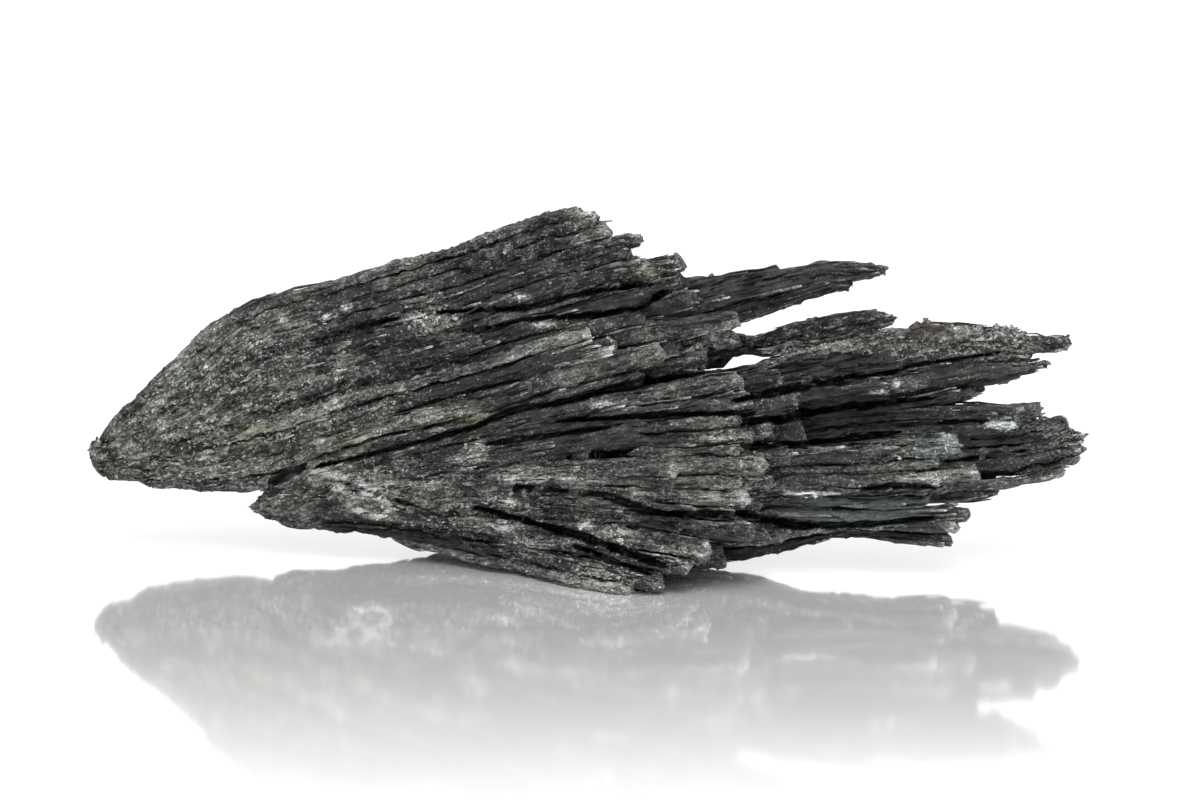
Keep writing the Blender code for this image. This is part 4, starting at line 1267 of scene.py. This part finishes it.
def shaped(points, tree):
    """The points of a piece as they are shown: with the lumps, the slit and the clefts."""
    rough = np.minimum(patch_strength(points, PATCHES["rough"]), 1)[:, None]
    moved = sum(size * lumps.at(points) for size, lumps in LUMPS)
    points = points + (LUMPS_WHERE_SMOOTH + rough) * moved
    points[:, 1] += slit_push(points)
    points[:, 2] += cleft_depth(points, tree)
    return points


def added(name, data):
    """A new object with this data, in the scene."""
    made = bpy.data.objects.new(name, data)
    bpy.context.scene.collection.objects.link(made)
    return made


def piece(name, skin, material, tree):
    """One closed-strand piece of the object from its gathered skin."""
    points = shaped(np.concatenate(skin.points), tree)
    faces = np.concatenate(skin.faces)
    world = to_world(points)
    world[:, 2] = np.maximum(world[:, 2], 0)
    mesh = bpy.data.meshes.new(name)
    mesh.vertices.add(len(world))
    mesh.vertices.foreach_set("co", world.astype(np.float32).ravel())
    mesh.loops.add(faces.size)
    mesh.loops.foreach_set("vertex_index", faces.astype(np.int32).ravel())
    mesh.polygons.add(len(faces))
    mesh.polygons.foreach_set("loop_start", np.arange(0, faces.size, 3, dtype=np.int32))
    mesh.update(calc_edges=True)
    mesh.validate()
    mesh.polygons.foreach_set("use_smooth", np.ones(len(mesh.polygons), bool))
    mesh.set_sharp_from_angle(angle=SHARP)
    values = {"tone": np.concatenate(skin.tone), "broken": np.concatenate(skin.broken)}
    for kind, patches in PATCHES.items():
        values[kind] = patch_strength(points, patches)
    for kind, value in values.items():
        made = mesh.attributes.new(kind, "FLOAT", "POINT")
        made.data.foreach_set("value", value.astype(np.float32))
    grain = mesh.attributes.new("grain", "FLOAT_VECTOR", "POINT")
    grain.data.foreach_set("vector", np.concatenate(skin.grain).astype(np.float32).ravel())
    mesh.materials.append(material)
    made = added(name, mesh)
    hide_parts("kyanite_fan")
    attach(made, "root")


class Wire:
    """A value in a material. Sums, differences and products of wires add the nodes for them."""

    def __init__(self, nodes, socket):
        self.nodes = nodes
        self.socket = socket

    def __add__(self, other):
        return self.nodes.math("ADD", self, other)

    def __sub__(self, other):
        return self.nodes.math("SUBTRACT", self, other)

    def __mul__(self, other):
        return self.nodes.math("MULTIPLY", self, other)


class Nodes:
    """A material's node tree with short calls for adding nodes."""

    def __init__(self, tree):
        self.tree = tree

    def add(self, kind, inputs=None, **settings):
        made = self.tree.nodes.new(kind)
        for name, value in settings.items():
            setattr(made, name, value)
        for name, value in (inputs or {}).items():
            self.put(made.inputs[name], value)
        return made

    def out(self, output, kind, inputs=None, **settings):
        """Adds a node and gives one of its outputs."""
        return Wire(self, self.add(kind, inputs, **settings).outputs[output])

    def put(self, socket, value):
        if isinstance(value, Wire):
            self.tree.links.new(value.socket, socket)
        else:
            socket.default_value = value

    def attribute(self, name, output="Fac"):
        return self.out(output, "ShaderNodeAttribute", attribute_name=name)

    def object_place(self):
        return self.out("Object", "ShaderNodeTexCoord")

    def math(self, operation, a, b=0.0, clamp=False):
        return self.out(0, "ShaderNodeMath", {0: a, 1: b}, operation=operation, use_clamp=clamp)

    def vector(self, operation, a, b):
        return self.out(0, "ShaderNodeVectorMath", {0: a, 1: b}, operation=operation)

    def scaled(self, vector, *factors):
        return self.vector("MULTIPLY", vector, factors)

    def noise(self, place, scale, detail=2.0, roughness=0.5, output="Fac"):
        inputs = {"Vector": place, "Scale": scale, "Detail": detail, "Roughness": roughness}
        return self.out(output, "ShaderNodeTexNoise", inputs)

    def ramp(self, value, low, high, to_low=0.0, to_high=1.0):
        inputs = {
            "Value": value, "From Min": low, "From Max": high, "To Min": to_low, "To Max": to_high
        }
        return self.out("Result", "ShaderNodeMapRange", inputs, interpolation_type="SMOOTHSTEP")

    def mix(self, share, a, b):
        made = self.add("ShaderNodeMix", data_type="RGBA", blend_type="MIX")
        for name, value in (("Factor", share), ("A", a), ("B", b)):
            self.put(made.inputs[name], value)
        return Wire(self, made.outputs["Result"])


# The stone's colours, from its clean dark faces to its powder, and its stains.
DARKEST = (0.0075, 0.009, 0.0082, 1)
DARK = (0.021, 0.024, 0.022, 1)
MIDDLING = (0.039, 0.043, 0.04, 1)
GREY = (0.112, 0.119, 0.107, 1)
PALE = (0.25, 0.261, 0.24, 1)
WHITE = (0.62, 0.64, 0.63, 1)
OCHRE = (0.24, 0.21, 0.11, 1)
RUST = (0.056, 0.039, 0.032, 1)
FILM = (0.12, 0.14, 0.14, 1)
# How much light its faces throw back, and how deep its finest relief is.
STONE_IOR = 1.5
STONE_SPECULAR = 0.28
STONE_BUMP = 0.16 * MM


def kyanite():
    """Charcoal stone of pressed fibres, gritty all over, with pale streaks and grainy pale breaks."""
    material = bpy.data.materials.new("black_kyanite")
    material.use_nodes = True
    n = Nodes(material.node_tree)
    shader = material.node_tree.nodes["Principled BSDF"]
    grain = n.attribute("grain", "Vector")
    tone, broken, powder, rough = map(n.attribute, ("tone", "broken", "powder", "rough"))
    place = n.scaled(n.object_place(), *[1 / MM] * 3)

    # Patterns over the stone, from the broadest to the finest.
    regions = n.noise(place, 0.32, 3.0, 0.55)
    streaks = n.noise(n.scaled(grain, 0.45, 3.2, 3.2), 1.0, 3.0, 0.6)
    hairs = n.noise(n.scaled(grain, 1.4, 9.0, 9.0), 1.0, 2.0, 0.6)
    clumps = n.noise(n.scaled(place, 0.7, 1.0, 1.0), 1.1, 2.0, 0.6)
    grit = n.noise(n.scaled(place, 0.8, 1.0, 1.0), 4.6, 3.0, 0.8)
    crumbs = n.noise(n.scaled(grain, 1.5, 3.4, 3.4), 1.0, 3.0, 0.7)
    warp = n.noise(place, 1.6, output="Color")
    cells = {"Vector": n.vector("ADD", n.scaled(grain, 0.9, 2.6, 2.6), warp), "Scale": 1.0}
    bark = n.out("Distance", "ShaderNodeTexVoronoi", cells, feature="DISTANCE_TO_EDGE")
    cell_colour = n.out("Color", "ShaderNodeTexVoronoi", cells)
    scales = n.out("Red", "ShaderNodeSeparateColor", {"Color": cell_colour})
    barky = n.ramp(rough + regions * 0.5, 0.2, 0.8, 0.3, 1.0)

    dark = n.mix(n.ramp(streaks, 0.35, 0.68), DARKEST, DARK)
    # Faces of low tone are darker; the blades deep inside a sheaf have low tones as painted shade.
    dark = n.mix(tone * n.ramp(regions, 0.35, 0.65), dark, MIDDLING)

    # How dusty the stone is: more where it is rough, broken or powdery, less where it is clean.
    dusty = n.ramp(regions, 0.36, 0.66) * 0.06 + rough * 0.03
    dusty += (clumps - 0.5) * (barky * 0.3)
    dusty += (scales - 0.35) * (barky * 0.1)
    dusty += broken * 0.16
    # Low tone also makes a face less dusty, which on the inner blades is painted shade.
    dusty += (tone - 0.48) * n.ramp(rough, 0.0, 0.7, 0.17, 0.07)
    dusty += powder * n.ramp(streaks, 0.35, 0.6, 0.04, 0.18)
    dusty -= n.attribute("clean") * 0.1
    # Pale threads run over the crusts.
    fold = n.math("ABSOLUTE", n.noise(place, 1.7, 2.0, 0.7) - 0.5)
    crusty = n.math("ADD", powder * 0.8, broken, clamp=True)
    dusty += n.ramp(fold, 0.0, 0.02, 0.1, 0.0) * crusty

    # All of it together says how pale each point is.
    mixed = (grit - 0.5) * n.ramp(rough, 0.0, 1.0, 0.46, 0.34) + 0.25
    mixed += crumbs * 0.34
    mixed += hairs * 0.08
    # Tiny pale specks: painted glints of small quartz grains.
    mixed += n.ramp(n.noise(place, 7.0, 0.0), 0.7, 0.78, 0.0, 0.16)
    mixed += dusty
    # Darker along the edges of the bark's cells: painted shade in the cracks between its scales.
    mixed -= n.ramp(bark, 0.0, 0.14, 1.0, 0.0) * barky * 0.1
    colour = n.mix(n.ramp(mixed, 0.47, 0.585), dark, GREY)
    colour = n.mix(n.ramp(mixed, 0.57, 0.66), colour, PALE)
    colour = n.mix(n.ramp(mixed, 0.66, 0.8), colour, WHITE)

    # Stains: in which pattern, between which of its values, how strongly and in which colour.
    for kind, pattern, low, high, strength, stain in (
        ("ochre", crumbs, 0.42, 0.58, 0.7, OCHRE), ("rust", crumbs, 0.3, 0.5, 0.75, RUST),
        ("film", hairs, 0.2, 0.5, 0.6, FILM),
    ):
        stained = n.math("MULTIPLY", n.attribute(kind), n.ramp(pattern, low, high), clamp=True)
        colour = n.mix(stained * strength, colour, stain)
    n.put(shader.inputs["Base Color"], colour)

    n.put(shader.inputs["Roughness"], n.ramp(mixed, 0.36, 0.66, 0.38, 0.8))
    shader.inputs["IOR"].default_value = STONE_IOR
    shader.inputs["Specular IOR Level"].default_value = STONE_SPECULAR

    height = hairs * 0.3 + grit * 0.5 + crumbs * 0.6 + n.ramp(bark, 0.0, 0.3) * barky * 0.6
    bump = {"Height": height, "Strength": 1.0, "Distance": STONE_BUMP}
    n.put(shader.inputs["Normal"], n.out("Normal", "ShaderNodeBump", bump))
    return material


def build_specimen():
    """All sheaves: each as one piece, apart from those that are cut in two."""
    blade_dice = random.Random(BLADE_SEED)
    tree = BVHTree.FromPolygons(
        [v.co for v in SOLID.data.vertices], [p.vertices for p in SOLID.data.polygons]
    )
    material = kyanite()
    for number, sheaf in enumerate(SHEAVES):
        dice = np.random.default_rng(SHEAF_SEED + number)
        run = Run(np.array(sheaf.ribs))
        all_blades = blades_of(sheaf, run, blade_dice)
        for name, blades, has_heart in parts_of(sheaf, all_blades):
            skin = Skin()
            if has_heart:
                add_heart(skin, sheaf, run, all_blades, dice)
            add_blades(skin, run, blades, dice)
            if has_heart or sheaf.heart is None:
                add_knobs(skin, sheaf.name, dice)
            add_grains(skin, run, tree, dice)
            add_fibres(skin, run, blades, COATS.get(sheaf.name, COARSE_COAT), tree, dice)
            piece(name, skin, material, tree)


def parts_of(sheaf, blades):
    """The pieces that a sheaf is shown as: the name, the blades and whether it has the heart."""
    name = sheaf.name.replace(" ", "_")
    if sheaf.name not in CUTS:
        return [(name + "_blades", blades, sheaf.heart is not None)]
    front = blades.behind < CUTS[sheaf.name]
    return [
        (name + "_front_blades", Blades(*(values[front] for values in blades)), False),
        (name + "_back_blades", Blades(*(values[~front] for values in blades)), True),
    ]


# The floor lies a little under the specimen. This much of its light is mirrored behind FULL_AT,
# and none before FADED_AT, both along y.
FLOOR_DROP = 0.00002
FLOOR_REACH = 2.5
FLOOR_WHITE = (0.95, 0.95, 0.95, 1)
FLOOR_ROUGHNESS = 0.08
MIRRORED = 0.75
FULL_AT = -0.012
FADED_AT = -0.106


def floor():
    """A white glossy sheet. It mirrors the specimen, but not where it comes nearer to the camera."""
    mesh = bpy.data.meshes.new("floor")
    corners = [(FLOOR_REACH * x, FLOOR_REACH * y, 0) for x, y in ((-1, -1), (1, -1), (1, 1), (-1, 1))]
    mesh.from_pydata(corners, [], [(0, 1, 2, 3)])
    made = added("floor", mesh)
    made.location.z = -FLOOR_DROP
    material = bpy.data.materials.new("white_gloss")
    material.use_nodes = True
    n = Nodes(material.node_tree)
    y = n.out("Y", "ShaderNodeSeparateXYZ", {0: n.object_place()})
    mirrored = n.ramp(y, FADED_AT, FULL_AT, 0.0, MIRRORED)
    matt = n.out(0, "ShaderNodeBsdfDiffuse", {"Color": FLOOR_WHITE})
    glossy = {"Color": (1, 1, 1, 1), "Roughness": FLOOR_ROUGHNESS}
    gloss = n.out(0, "ShaderNodeBsdfAnisotropic", glossy)
    both = n.out(0, "ShaderNodeMixShader", {0: mirrored, 1: matt, 2: gloss})
    n.put(material.node_tree.nodes["Material Output"].inputs["Surface"], both)
    mesh.materials.append(material)


SURROUND_STRENGTH = 1.05
LAMP_PLACE = (0.1, -0.25, 1.2)
LAMP_AIM = (0, 0, 0.01)
LAMP_SIZE = 0.9
LAMP_WATTS = 13.0


def light():
    """A white surround and one soft light overhead."""
    world = bpy.data.worlds.new("white_surround")
    bpy.context.scene.world = world
    world.use_nodes = True
    background = world.node_tree.nodes["Background"].inputs
    background["Color"].default_value = (1, 1, 1, 1)
    background["Strength"].default_value = SURROUND_STRENGTH
    data = bpy.data.lights.new("overhead", "AREA")
    data.size = LAMP_SIZE
    data.energy = LAMP_WATTS
    made = added("overhead", data)
    made.location = LAMP_PLACE
    way = Vector(LAMP_AIM) - Vector(LAMP_PLACE)
    made.rotation_euler = way.to_track_quat("-Z", "Y").to_euler()
    bpy.context.scene.view_settings.view_transform = "Standard"


# The camera looks along the depth of the leaning specimen, from this far before the point
# (x, rise, depth) that it has in the middle of its picture.
CAMERA_AIM = (1.0, 15.6, 5.0)
CAMERA_AWAY = 366.0
CAMERA_CLIP = (0.01, 20.0)
LENS = 137.25
SENSOR = 36.0


def camera():
    data = bpy.data.cameras.new("camera")
    data.lens = LENS
    data.sensor_width = SENSOR
    data.clip_start, data.clip_end = CAMERA_CLIP
    made = added("camera", data)
    x, rise, depth = CAMERA_AIM
    made.location = to_world(np.array([x, rise, depth - CAMERA_AWAY]))
    made.rotation_euler = (math.pi / 2 - LEAN, 0, 0)
    bpy.context.scene.camera = made


build_specimen()
floor()
light()
camera()
